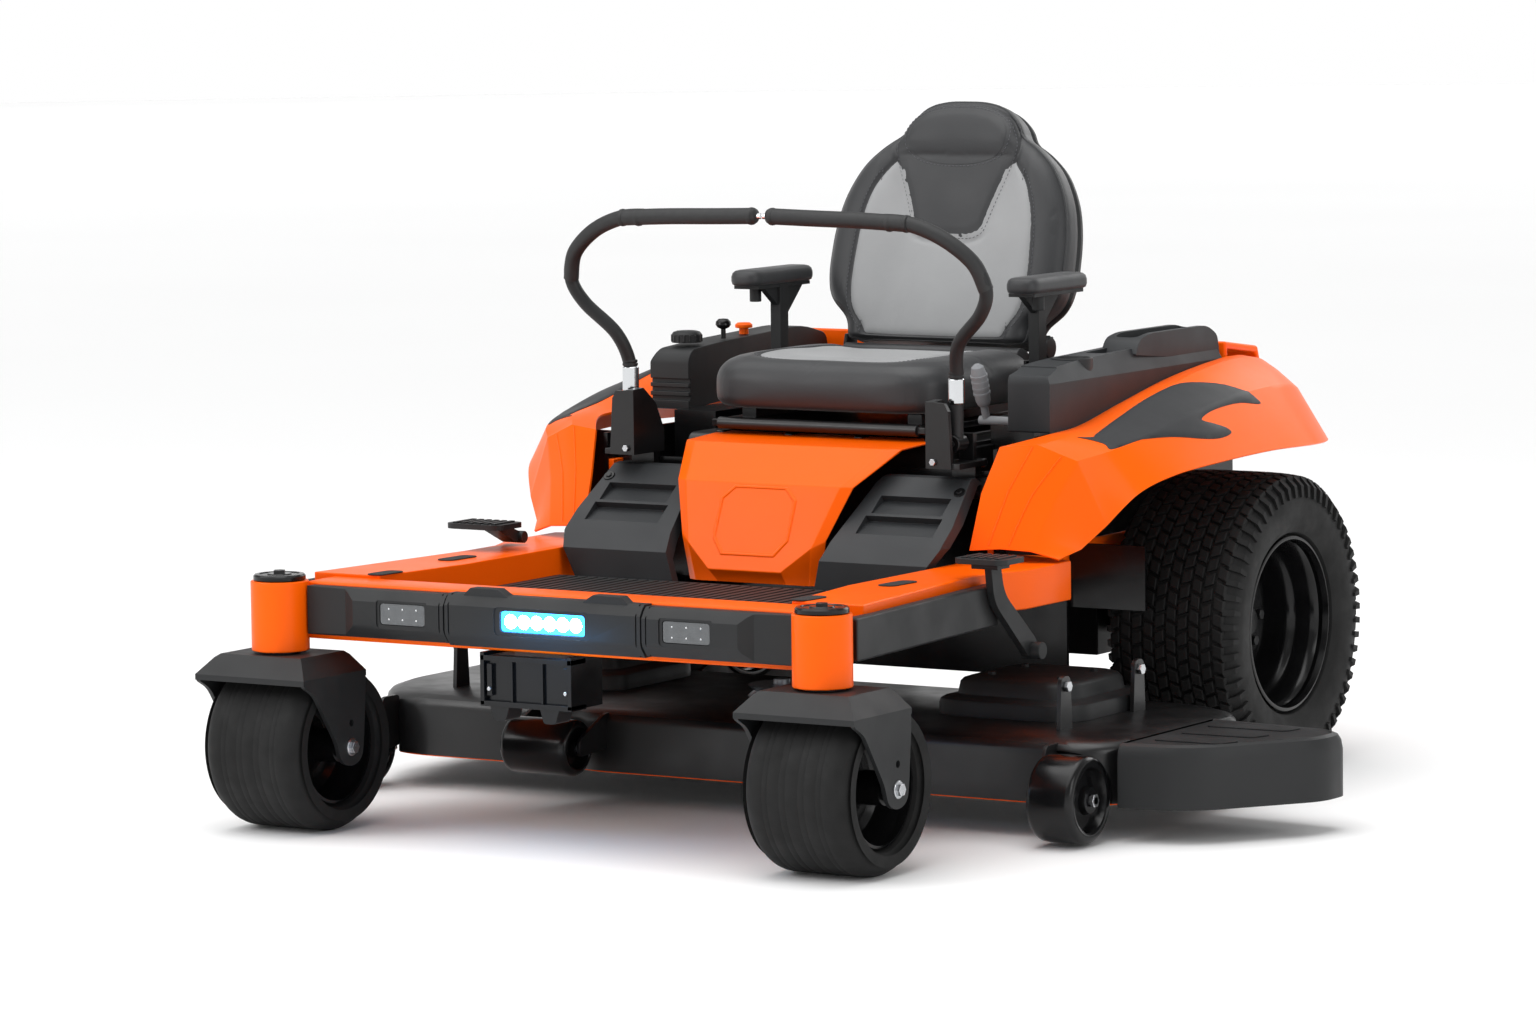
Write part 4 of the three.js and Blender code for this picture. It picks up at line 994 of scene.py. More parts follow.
def make_cowl(settings):
    """The middle panel, with a folded rim round its lower edge and a plain raised plate."""
    (y0, z0), (y1, z1) = COWL_LINE[1], COWL_LINE[2]
    face = lambda z: y0 + (y1 - y0) * (z - z0) / (z1 - z0)
    rows = []
    for i, (y, z) in enumerate(COWL_LINE):
        half = min(cowl_edge(z), 229) - (3 if i == 0 else 0)
        fold = (20, 22, 22, 26, 10)[i]
        back = (12, 9, 9, 12, 6)[i]
        xs = [half, half - fold, half * 0.5, -half * 0.5, fold - half, -half]
        heights = [z + 44, z + 32, z - 12, z - 12, z + 32, z + 44] if i == 1 else [z] * 6
        row = []
        for k, (x, h) in enumerate(zip(xs, heights)):
            row.append((x, (face(h) if i == 1 else y) + (back if k in (0, 5) else 0), h))
        rows.append(row)
    bm = bmesh.new()
    add_skin(bm, rows, 4)
    add_piece(bm, "cowl_panel", "paint", "frame", "orange_paint", "cowl", width=settings.panel_edge * 1000,
        segments=4, angle=10)

    along = Vector((y1 - y0, z1 - z0)).normalized()
    out = Vector((-along.y, along.x))
    middle_point = Vector((y0, z0)) + along * 80
    w, h, c = 80, 66, 24
    octagon = [(-w + c, -h), (w - c, -h), (w, -h + c * 1.3), (w, h - c), (w - c, h), (-w + c, h), (-w, h - c),
        (-w, -h + c * 1.3)]
    bm = bmesh.new()
    rings = []
    for share, rise in ((1.0, -1.5), (1.0, 0.1), (0.97, 2.2), (0.93, 2.2), (0.915, 0.5)):
        ring = []
        for u, v in octagon:
            spot = middle_point + along * v * share + out * rise
            ring.append(bm.verts.new(at(u * share, spot.x, spot.y)))
        rings.append(ring)
    bridge(bm, rings)
    add_piece(bm, "cowl_plate", "paint", "frame", "orange_paint", width=0.8, angle=20)


def make_step_panels(settings):
    """The two foot-side panels: two deep ladder steps, a fold down each side and a bolt."""
    line = [(-778, 388), (-780, 442), (-752, 474), (-616, 580), (-598, 582)]
    for hand, side in SIDES.items():
        bm = bmesh.new()
        outline = line + [(y + 20, z - 13) for y, z in reversed(line)]
        add_prism(bm, outline, "x", side * 130, side * 396)
        panel = object_of(f"foot_panel_{hand}", bm, shelf("grey"))
        inner = [(cowl_edge(385) + 5, 380), (cowl_edge(570) + 5, 570), (cowl_edge(590) + 5, 592)]
        outer = [(372, 592), (393, 505), (393, 470), (352, 380)]
        front = prism_object("front", mirrored(inner + outer, side), "y", -800, -560)
        cut_with(panel, front, "INTERSECT")
        (y0, z0), (y1, z1) = line[2], line[3]
        along = Vector((y1 - y0, z1 - z0)).normalized()
        floor = Vector((along.y, -along.x)) * 11
        for a, b in ((24, 70), (77, 122)):
            low, high = Vector((y0, z0)) + along * a, Vector((y0, z0)) + along * b
            notch = [low - floor * 0.5, low + floor * 0.35, high + floor * 1.25, high - floor * 0.5]
            x_low = cowl_edge(low.y) + 42
            x_high = 366 - a * 0.1
            tool = prism_object("rung", [tuple(q) for q in notch], "x", side * x_low, side * x_high)
            cut_with(panel, tool)
        repaint(panel, "grey")
        soften(panel, settings.panel_edge * 600, 3, 20)
        fit(panel, "frame", "grey_plastic", f"step_panel_{hand}")
        bm = bmesh.new()
        spot = Vector((y0, z0)) + along * 138
        for r, rise in ((11, 2.2), (6, 4.5)):
            ring = [(0, -1), (r, -1), (r, rise - 1), (r - 1, rise), (0, rise)]
            add_lathe(bm, ring, "y", [side * 368, spot.x, spot.y], 32 if r > 8 else 6)
        bolt = object_of(f"panel_bolt_{hand}", bm, shelf("gloss_black"))
        turn = Matrix.Rotation(-math.atan2(along.x, along.y), 4, "X") @ Matrix.Rotation(math.pi, 4, "Z")
        pivot = Matrix.Translation(at(side * 368, spot.x, spot.y))
        bolt.data.transform(pivot @ turn @ pivot.inverted())
        shade(bolt)
        fit(bolt, "frame", "black_steel")


FENDER_STATIONS = [
    (-675, 0.39, [(405, 462), (455, 465), (505, 461), (552, 448)]),
    (-640, 0.39, [(410, 560), (470, 566), (530, 545), (574, 462)]),
    (-600, 0.30, [(425, 638), (490, 643), (558, 615), (608, 502)]),
    (-510, 0.10, [(474, 655), (530, 656), (600, 632), (645, 556)]),
    (-400, 0.00, [(474, 662), (535, 672), (620, 650), (668, 582)]),
    (-250, 0.00, [(474, 690), (540, 706), (630, 678), (685, 594)]),
    (-80, 0.00, [(474, 720), (540, 736), (630, 698), (695, 600)]),
    (80, 0.00, [(474, 738), (535, 748), (620, 702), (700, 598)]),
    (200, 0.00, [(474, 742), (530, 738), (600, 690), (665, 594)]),
    (290, 0.00, [(474, 700), (520, 690), (560, 660), (600, 600)]),
]


def blend_points(points, t):
    """A point on a Catmull-Rom line through the points, t counted in spans."""
    i = min(int(t), len(points) - 2)
    f = t - i
    p = points[max(i - 1, 0)]
    q, r = points[i], points[i + 1]
    s = points[min(i + 2, len(points) - 1)]
    return tuple(
        0.5 * (2 * b + (c - a) * f + (2 * a - 5 * b + 4 * c - d) * f**2 + (3 * b - a - 3 * c + d) * f**3)
        for a, b, c, d in zip(p, q, r, s)
    )


def straight_points(points, t):
    """A point on the straight line between the two points that t falls between."""
    i = min(int(t), len(points) - 2)
    return tuple(a + (b - a) * (t - i) for a, b in zip(points[i], points[i + 1]))


def fender_point(u, v):
    """A point on the fender's outer side; u runs over its stations from the front, v from the inner edge out.

    The front panel, up to the third station, is flat; behind it the fender is smoothly curved.
    """
    across = []
    for k in range(4):
        column = [(row[k][0], y + slant * (row[k][0] - row[0][0]), row[k][1]) for y, slant,
            row in FENDER_STATIONS]
        across.append(straight_points(column, u) if u < 2 else blend_points(column[2:], u - 2))
    flat = straight_points(across, v)
    if v >= 2:
        return flat
    curved = blend_points(across[:3], v)
    share = min(1, max(0, (u - 2) / 1.5))
    return tuple(a + (b - a) * share for a, b in zip(flat, curved))


INSERT_EDGE = [(2.88, 1.10), (3.1, 1.28), (3.3, 1.22), (4.18, 1.06), (4.90, 1.00), (5.43, 1.07), (5.75, 1.33),
    (6.03, 1.62)]
INSERT_EDGE += [(6.2, 2.0), (6.3, 2.23), (5.90, 2.13), (5.60, 2.09), (5.25, 2.08), (5.02, 2.15), (5.20, 2.3),
    (5.38, 2.45)]
INSERT_EDGE += [(5.40, 2.56), (5.15, 2.58), (4.83, 2.48), (4.3, 2.2), (3.88, 2.04), (3.53, 1.96),
    (2.95, 1.93), (3.02, 1.6)]


def add_inset(bm, edge, side, lift, depth):
    """A thin piece on the fender's surface, its edge given in (u, v), standing off it by lift."""
    flat = bmesh.new()
    flat.faces.new([flat.verts.new((u, v, 0)) for u, v in edge])
    for axis, size in ((0, 0.12), (1, 0.08)):
        low = min(q[axis] for q in edge)
        high = max(q[axis] for q in edge)
        for k in range(1, int((high - low) / size) + 1):
            spot, normal = Vector((0, 0, 0)), Vector((0, 0, 0))
            spot[axis], normal[axis] = low + k * size, 1
            parts = flat.verts[:] + flat.edges[:] + flat.faces[:]
            bmesh.ops.bisect_plane(flat, geom=parts, plane_co=spot, plane_no=normal, dist=1e-6)
    bmesh.ops.triangulate(flat, faces=flat.faces)
    flat.verts.index_update()
    rim = nearest_to(dense(edge, 0.02))
    layers = []
    for rise in (1, 0):
        layer = []
        for vertex in flat.verts:
            u, v = vertex.co.x, vertex.co.y
            here = Vector(fender_point(u, v))
            out = (Vector(fender_point(u, v + 0.02)) - here).cross(Vector(fender_point(u + 0.02,
                    v)) - here).normalized()
            height = (lift * min(1, 0.25 + rim(u, v) / 0.06) if rise else -depth)
            spot = here + out * height
            layer.append(bm.verts.new(at(side * spot.x, spot.y, spot.z)))
        layers.append(layer)
    for face in flat.faces:
        ids = [vertex.index for vertex in face.verts]
        bm.faces.new([layers[0][i] for i in ids])
        bm.faces.new([layers[1][i] for i in reversed(ids)])
    for border in flat.edges:
        if len(border.link_faces) == 1:
            i, j = (vertex.index for vertex in border.verts)
            bm.faces.new((layers[0][i], layers[0][j], layers[1][j], layers[1][i]))
    flat.free()


def make_fenders(settings):
    """The orange fenders, flared to a lip, each with a dark swept insert and moulded creases."""
    steps = settings.fender_steps
    us = [0, 0.05, 0.5, 1, 1.5, 1.95, 2, 2.06]
    us += [2 + i / steps for i in range(1, (len(FENDER_STATIONS) - 3) * steps + 1)]
    vs = [0, 0.06, 0.5, 1.0, 1.35, 1.7, 1.93, 2.0, 2.06, 2.3, 2.6, 2.88, 2.96, 3.0]
    for hand, side in SIDES.items():
        rows = [[(side * x, y, z) for x, y, z in (fender_point(u, v) for v in vs)] for u in us]
        bm = bmesh.new()
        add_skin(bm, rows, 4, -side)
        add_piece(bm, f"fender_shell_{hand}", "paint", "frame", "orange_paint", f"fender_{hand}", angle=24)

        bm = bmesh.new()
        edge = [(u, v) for u, v, _ in smooth_line([(u, v, 0) for u, v in INSERT_EDGE + INSERT_EDGE[:1]], 5)][
            :-1]
        add_inset(bm, edge, side, 2.4, 1.5)
        add_piece(bm, f"fender_insert_{hand}", "insert", "frame", "grey_plastic", angle=50)

        bm = bmesh.new()
        for line in ([(0.08, 0.6), (1.0, 0.75), (1.96, 0.9)], [(0.08, 1.25), (1.0, 1.4), (1.96, 1.62)]):
            spots = [fender_point(u, v) for u, v, _ in smooth_line([(*uv, 0) for uv in line], 7)]
            add_sweep(bm, [(side * x, y, z) for x, y, z in spots], 1.6, 8)
        add_piece(bm, f"fender_bead_{hand}", "paint", "frame", "orange_paint", angle=60)


def tank_body(name, side, front):
    inner, outer, top = 385, 470, 775
    profile = [(front, 655), (front, top - 25), (front + 16, top - 8), (front + 120, top), (60, top + 12),
        (150, top - 10)]
    profile += [(160, 690), (-100, 672)]
    obj = prism_object(name, rounded_outline(profile, [4, 14, 18, 60, 60, 18, 14, 40], 4), "x", side * inner,
        side * outer)
    chamfer = [(inner - 1, 640), (inner - 1, 800), (outer - 28, 800), (outer + 1, 740), (outer + 1, 640)]
    cut_with(obj, prism_object("side", mirrored(chamfer, side), "y", front - 20, 180), "INTERSECT")
    return obj


def make_tank(settings):
    """The grey tank beside the seat, with a cup holder and a long tray in its top."""
    obj = tank_body("tank_shell", 1, -500)
    bm = bmesh.new()
    add_rod(bm, "z", 34, 700, 815, [426, -340, 0], 64)
    cut_with(obj, object_of("cup", bm, []))
    tray = rounded_outline([(400, -250), (440, -250), (446, 20), (400, 20)], 14, 4)
    cut_with(obj, prism_object("tray", tray, "z", 766, 820))
    step = [(-452, 790), (-452, 767), (-466, 762), (-520, 750), (-520, 790)]
    cut_with(obj, prism_object("step", step, "x", 380, 480))
    repaint(obj, "grey")
    soften(obj, settings.panel_edge * 700, 3, 24)
    fit(obj, "frame", "grey_plastic", "fuel_tank")
    rim = rounded_outline([(-168, 770), (-150, 798), (-110, 806), (110, 806), (150, 786), (160, 740)],
        [4, 14, 30, 30, 12, 0], 4)
    tray_rim = prism_object("tray_rim", rim, "x", 390, 462)
    well = rounded_outline(box_outline(402, 450, -140, 120), 14, 4)
    cut_with(tray_rim, prism_object("well", well, "z", 772, 820))
    repaint(tray_rim, "grey")
    soften(tray_rim, 4, 3, 24)
    fit(tray_rim, "frame", "grey_plastic")
    bm = bmesh.new()
    add_lathe(bm, [(30, 752), (38, 752), (38, 776.4), (36.5, 777.6), (33.5, 777.6), (32.5, 776.4)], "z",
        [426, -340, 0], 64)
    add_piece(bm, "cup_ring", "black", "frame", "black_plastic", angle=40)


def make_console(settings):
    """The console on the other side, with its ribbed front, the ribbed fuel cap and the throttle and switch
    knobs.
    """
    obj = tank_body("console_shell", -1, -345)
    for k in range(3):
        slot_line = [(-382 - k, 712 - k * 16), (-474, 712 - k * 16), (-474, 704 - k * 16),
            (-382, 704 - k * 16)]
        cut_with(obj, prism_object("slot", slot_line, "y", -350, -339))
    repaint(obj, "black")
    soften(obj, settings.panel_edge * 700, 3, 24)
    fit(obj, "frame", "black_plastic", "control_console")
    bm = bmesh.new()
    for k in range(16):
        turn = math.tau * k / 16
        x, y = -422 + 27.6 * math.cos(turn), -292 + 27.6 * math.sin(turn)
        add_rod(bm, "z", 2.4, 778, 791, [x, y, 0], 10)
    knob = [(0, 776.3), (28, 776.3), (28, 792), (25, 796), (18, 798), (0, 798)]
    add_lathe(bm, knob, "z", [-422, -292, 0], 48)
    add_piece(bm, "tank_cap", "black", "fuel_cap", "black_plastic", "fuel_cap", angle=35)
    for name, body, material, x, y in (
        ("throttle_knob", "throttle_lever", "gloss_black", -396, -205),
        ("switch_button", "blade_switch", "paint", -404, -120),
    ):
        low = span(body, 2)[0]
        bm = bmesh.new()
        if body == "throttle_lever":
            stem = [(0, low), (5, low), (4.5, low + 18), (11, low + 21), (14.6, low + 26), (14, low + 32),
                (9, low + 37), (0, low + 38)]
        else:
            stem = [(0, low), (9, low), (9, low + 11), (16, low + 12), (16.6, low + 14), (16.4, low + 18),
                (12, low + 21.6), (0, low + 22)]
        add_lathe(bm, stem, "z", [x, y, 0], 48)
        slot_name = "black_plastic" if body == "throttle_lever" else "orange_paint"
        add_piece(bm, name, material, body, slot_name, body, angle=40)


ENGINE_Y = 160
VANES = 28
FINS = 7


def make_rear(settings):
    """The rear hood, the guard bar, the engine with its cooling fins, the drive axle and the battery box."""
    copy_of("rear_hood", "hood_shell", "paint", settings.panel_edge * 1000, "orange_paint", "frame", 3)
    copy_of("rear_guard", "guard_bar", "steel", 2.5, "black_steel", "frame", 3)
    copy_of("drive_axle", "axle_housing", "steel", 3, "black_steel", "frame", 2)
    bm = bmesh.new()
    add_box(bm, (-130, 130), (40, 280), (392.5, 540))
    shroud = [(0, 530), (138, 530), (149, 560), (150, 574), (147, 576), (147, 582), (150, 584), (150, 640),
        (140, 662), (112, 689), (0, 690)]
    add_lathe(bm, shroud, "z", [0, ENGINE_Y, 0], 96, 1)
    for k in range(VANES):
        turn = math.tau * k / VANES
        x, y = 78 * math.cos(turn), ENGINE_Y + 78 * math.sin(turn)
        reach = ((0, 24), (0.3, 21.6), (math.pi, 24), (math.pi + 0.3, 21.6))
        vane = [(x + r * math.cos(turn + d), y + r * math.sin(turn + d)) for d, r in reach]
        add_prism(bm, vane, "z", 689, 694, 1)
    for s in (1, -1):
        add_rod(bm, "x", 42, s * 120, s * 203, [0, ENGINE_Y, 500], 32)
        for k in range(FINS):
            fin = rounded_outline(box_outline(ENGINE_Y - 60, ENGINE_Y + 60, 440, 560), 16, 3)
            add_prism(bm, fin, "x", s * (138 + k * 9), s * (141.5 + k * 9))
        add_box(bm, (s * 196, s * 205), (118, 202), (462, 538), 1)
    add_box(bm, (-110, 110), (40, 135), (640, 715), 1)
    add_rod(bm, "x", 48, -150, 150, [0, 345, 480], 48, 0, 8)
    add_box(bm, (-30, 30), (270, 320), (450, 500))
    add_piece(bm, "motor", "steel black", "frame", "engine_alloy", "engine", width=2.0, angle=30)

    low, high = span("battery_box", 2)
    bm = bmesh.new()
    add_box(bm, (-140, 30), (-1376, -1291), (low + 34, high - 6))
    for x in (-148, 30):
        add_box(bm, (x, x + 8), (-1386, -1290), (low + 28, high - 2))
    for z in (low + 26, high - 16):
        add_box(bm, (-148, 38), (-1386, -1340), (z, z + 9))
    for x in (-86, -24):
        add_box(bm, (x - 2, x + 2), (-1382, -1374), (low + 34, high - 14))
    for x in (-136, 20):
        add_box(bm, (x, x + 10), (-1383, -1374), (low + 44, high - 22))
        add_hex(bm, "y", 4, -1386, -1382, [x + 5, 0, low + 56], 1)
    for x in (-110, -8):
        foot = [(x - 20, low + 28), (x + 20, low + 28), (x + 12, low + 2), (x - 12, low + 2)]
        add_prism(bm, rounded_outline(foot, [0, 0, 5, 5], 3), "y", -1384, -1340)
    add_piece(bm, "battery_case", "gloss_black zinc", "frame", "black_plastic", "battery_box", width=1.2,
        angle=30)


# ---- cutting deck ------------------------------------------------------------------------------
def deck_plan(inset):
    half, front, rear = 800 - inset, -885 + inset, -340 - inset
    plan = [(-half, rear - 60), (-half, front + 130), (-half + 110, front), (-300, front), (-240, front - 27),
        (240, front - 27)]
    plan += [(300, front), (half - 60, front), (half, front + 60), (half, rear - 60), (half - 90, rear),
        (-half + 90, rear)]
    return plan


DECK_CORNERS = [80, 120, 120, 40, 40, 40, 40, 60, 60, 60, 90, 90]


# The cut round an outer roller, and half its width.
ARCH_RADIUS, ARCH_HALF = 87, 53


def deck_ring(bm, inset, z):
    """The deck's rounded plan at a height, drawn in by an inset, as points of a mesh."""
    return [bm.verts.new(at(x, y, z)) for x, y in rounded_outline(deck_plan(inset), DECK_CORNERS, 8)]


def close_rings(bm, rings):
    """Joins rings into a closed loop, such as a hollow strip."""
    for first, second in zip(rings, rings[1:] + rings[:1]):
        for i in range(len(first)):
            j = (i + 1) % len(first)
            bm.faces.new((first[i], first[j], second[j], second[i]))


def cut_roller_arches(obj):
    """Opens a deck part's front edge round the two outer rollers."""
    for side in (1, -1):
        bm = bmesh.new()
        add_rod(bm, "x", ARCH_RADIUS, -ARCH_HALF, ARCH_HALF, [side * 742, -930, 80], 48)
        cut_with(obj, object_of("arch", bm, []))


def make_deck():
    """The pressed deck with its rounded shoulder, roller brackets, hangers and edge strip."""
    bm = bmesh.new()
    edge, top, wall = 22, 170, 6
    outer = [(0, 62), (0, 66), (0, top - edge), (edge * 0.08, top - edge * 0.6),
        (edge * 0.3, top - edge * 0.28), (edge, top)]
    inner = [(wall + edge, top - wall), (wall, top - wall - edge), (wall, 62)]
    rings = [deck_ring(bm, inset, z) for inset, z in inner + outer]
    bridge(bm, rings)
    shell = object_of("deck_pressing", bm, [])
    cut_roller_arches(shell)
    repaint(shell, "steel")
    soften(shell, 1.2, 2, 32)
    fit(shell, "deck", "black_steel", "deck_shell")

    bm = bmesh.new()
    for x, z, radius, half, hands in ((742, 80, 75, 45, [-1]), (-742, 80, 75, 45, [1]),
        (-285, 112, 50, 70, [1, -1])):
        y = -930 if radius > 60 else -985
        for s in hands:
            a = x + s * (half + 4)
            arm = [(-865, 166), (-865, z - 6), (y - 14, z - 14), (y - 14, z + 16), (-915, 166)]
            add_prism(bm, rounded_outline(arm, 9, 3), "x", a, a + s * 7)
        add_rod(bm, "x", 8, -half - 9, half + 9, [x, y, z], 24, 1)
        for s in (1, -1):
            add_hex(bm, "x", 12, s * (half + 1.5), s * (half + 9), [x, y, z], 1)
    for side in (1, -1):
        for y in (-745, -480):
            hanger = rounded_outline([(y - 22, 166), (y + 22, 166), (y + 16, 262), (y - 16, 262)],
                [0, 0, 14, 14], 4)
            add_prism(bm, hanger, "x", side * 628, side * 636)
            add_hex(bm, "x", 10, side * 636, side * 644, [0, y, 244], 1)
    add_piece(bm, "deck_fittings", "steel zinc", "deck", "black_steel", width=0.8)

    bm = bmesh.new()
    rings = [deck_ring(bm, inset, z) for inset, z in ((1.5, 60), (1.5, 63), (5.0, 63), (5.0, 60))]
    close_rings(bm, rings)
    strip = object_of("deck_edge_strip", bm, shelf("paint"))
    cut_roller_arches(strip)
    repaint(strip, "paint")
    shade(strip)
    fit(strip, "deck", "orange_paint")


def make_deck_covers():
    """Two-step spindle covers, moulded in black plastic."""
    plan = [(330, -670), (380, -690), (585, -690), (620, -650), (620, -430), (580, -390), (370, -390),
        (330, -430)]
    for hand, side in SIDES.items():
        low, high = span(f"deck_cover_{hand}", 2)
        cx, cy = 475, -540
        bm = bmesh.new()
        rings = []
        steps = ((1.0, low), (1.0, low + 20), (0.985, low + 27), (0.94, low + 31), (0.86, low + 32),
            (0.82, low + 35))
        steps += ((0.795, high - 9), (0.76, high - 3), (0.70, high))
        for share, z in steps:
            ring = rounded_outline([(cx + (x - cx) * share, cy + (y - cy) * share) for x, y in plan], 34, 6)
            rings.append([bm.verts.new(at(side * x, y, z)) for x, y in ring])
        bridge(bm, rings)
        for dx, dy in ((-70, -60), (70, -60), (70, 60), (-70, 60)):
            add_hex(bm, "z", 8, high - 1, high + 5, [side * (cx + dx), cy + dy, 0])
        add_piece(bm, f"spindle_cover_{hand}", "black", "deck", "black_plastic", f"deck_cover_{hand}",
            angle=34)


def make_deflector():
    """The discharge deflector, a ribbed plastic chute with a rounded rim."""
    near, far = 803, 1080
    plan = [(near, -870), (far - 145, -845), (far, -640), (far, -562), (far - 30, -530), (near, -500)]
    corners = [2, 60, 60, 30, 30, 2]
    cx, cy = 930, -680
    bm = bmesh.new()
    rings = []
    levels = [(1.0, 60), (1.0, 62), (1.0, 142), (0.985, 157)]
    levels += [(0.955, 166), (0.90, 170), (0.885, 168), (0.87, 167.4)]
    for share, z in levels:
        ring = []
        for x, y in rounded_outline(plan, corners, 7):
            u = x if abs(x - near) < 3 else cx + (x - cx) * share
            ring.append(bm.verts.new(at(u, cy + (y - cy) * share, z)))
        rings.append(ring)
    bridge(bm, rings)
    for k in range(3):
        y = -790 + k * 96
        rib = [(near + 26, y), (near + 26, y + 52), (near + 168 + k * 10, y + 52),
            (near + 150 + k * 14, y + 6)]
        add_prism(bm, rounded_outline(rib, 12, 4), "z", 166.5, 169.4)
    add_piece(bm, "chute", "black", "deflector", "black_plastic", "discharge_deflector", angle=34)


SHOULDER_STEPS = 6


def make_rollers():
    """The deck's three anti-scalp rollers, each with dished ends."""
    for name in ("roller_left", "roller_right", "roller_centre"):
        x0, x1 = span(name, 0)
        y = sum(span(name, 1)) / 2
        z = sum(span(name, 2)) / 2
        radius = (span(name, 2)[1] - span(name, 2)[0]) / 2
        half = (x1 - x0) / 2
        outer = [(9.5, half - 1), (radius * 0.3, half - 1), (radius * 0.34, half - 12),
            (radius * 0.68, half - 14)]
        outer += [(radius * 0.74, half - 2), (radius * 0.80, half)]
        shoulder = 12
        for i in range(SHOULDER_STEPS + 1):
            turn = math.pi / 2 * i / SHOULDER_STEPS
            outer.append((radius - shoulder * (1 - math.sin(turn)), half - shoulder * (1 - math.cos(turn))))
        profile = outer + [(r, -a) for r, a in reversed(outer)]
        bm = bmesh.new()
        add_lathe(bm, profile, "x", [(x0 + x1) / 2, y, z], 96)
        add_piece(bm, f"{name}_moulding", "gloss_black", name, "black_plastic", name, angle=30)


def make_blades():
    """The three cutting blades under the deck."""
    for name in ("left", "centre", "right"):
        copy_of(f"blade_{name}", f"cutter_{name}", "blade", 0.8, "blade_steel", f"blade_{name}", 1)


# ---- seat --------------------------------------------------------------------------------------
def dense(outline, step=5.0):
    """A closed line's points, spaced about step apart."""
    line = []
    for (u, v), (u2, v2) in zip(outline, outline[1:] + outline[:1]):
        count = max(1, round(math.hypot(u2 - u, v2 - v) / step))
        line += [(u + (u2 - u) * i / count, v + (v2 - v) * i / count) for i in range(count)]
    return line


def nearest_to(points):
    """A function that tells how far a point lies from the nearest of these."""
    tree = KDTree(len(points))
    for i, (u, v) in enumerate(points):
        tree.insert((u, v, 0), i)
    tree.balance()
    return lambda u, v: tree.find((u, v, 0))[2]


def pad_object(name, outline, levels, flat, material, foot=None):
    """A closed pad of rings; levels are (inset, height) and flat places (u, v, height) in metres.

    With a foot given, the rings keep that lowest v, so that the pad's lower edge stays square.
    """
    us, vs = [u for u, _ in outline], [v for _, v in outline]
    cu, cv = (min(us) + max(us)) / 2, (min(vs) + max(vs)) / 2
    hu, hv = (max(us) - min(us)) / 2, (max(vs) - min(vs)) / 2
    bm = bmesh.new()
    rings = []
    for inset, height in levels:
        su, sv = 1 - inset / hu, 1 - inset / (hv if foot is None else 2 * hv)
        base = cv if foot is None else foot
        ring = [(cu + (u - cu) * su, base + (v - base) * sv) for u, v in outline]
        rings.append([bm.verts.new(flat(u, v, height)) for u, v in ring])
    bridge(bm, rings)
    return object_of(name, bm, shelf(material))


def inflate(obj, shape, held, settings):
    """Blows a closed pad up as cloth that is held at its seams and its base, within a set distance."""
    remesh = obj.modifiers.new("Even", "REMESH")
    remesh.mode = "VOXEL"
    remesh.voxel_size = settings.cloth_grid
    settle(obj)
    for vertex in obj.data.vertices:
        vertex.co = shape(vertex.co)
    group = obj.vertex_groups.new(name="held")
    for vertex in obj.data.vertices:
        weight = held(vertex.co)
        if weight > 0:
            group.add([vertex.index], weight, "REPLACE")
    before = [vertex.co.copy() for vertex in obj.data.vertices]
    cloth = obj.modifiers.new("Cloth", "CLOTH")
    cloth.settings.quality = 5
    cloth.settings.mass = 0.3
    cloth.settings.tension_stiffness = 15
    cloth.settings.compression_stiffness = 15
    cloth.settings.bending_stiffness = 0.6
    cloth.settings.use_pressure = True
    cloth.settings.uniform_pressure_force = settings.pressure
    cloth.settings.vertex_group_mass = group.name
    cloth.settings.effector_weights.gravity = 0
    cloth.collision_settings.use_collision = False
    cloth.point_cache.frame_start = 1
    cloth.point_cache.frame_end = 20
    for number in range(1, 21):
        bpy.context.scene.frame_set(number)
    settle(obj)
    reach = settings.cloth_reach
    for vertex, was in zip(obj.data.vertices, before):
        move = vertex.co - was
        if move.length > reach:
            vertex.co = was + move * (reach / move.length)
    obj.vertex_groups.clear()
    bpy.context.scene.frame_set(1)
    fine = obj.modifiers.new("Fine", "SUBSURF")
    fine.levels = fine.render_levels = 1
    settle(obj)
    obj.data.shade_smooth()
    return obj


def lay_on(base, spots, look, lift=0.0):
    """Points dropped on a pad's face along a direction, lifted off it by millimetres."""
    tree = BVHTree.FromObject(base, bpy.context.evaluated_depsgraph_get())
    laid = []
    for spot in spots:
        hit = tree.ray_cast(spot - look * 0.3, look)[0]
        if hit is None:
            hit = tree.find_nearest(spot)[0]
        laid.append(hit - look * lift / 1000)
    return laid


def press_seam(base, laid, width, depth):
    """Draws a pad's skin in along a seam."""
    tree = KDTree(len(laid))
    for i, spot in enumerate(laid):
        tree.insert(spot, i)
    tree.balance()
    moves = []
    for vertex in base.data.vertices:
        far = tree.find(vertex.co)[2]
        if far < width / 1000:
            moves.append((vertex, vertex.normal * depth / 1000 * (1 - far * 1000 / width) ** 2))
    for vertex, move in moves:
        vertex.co -= move


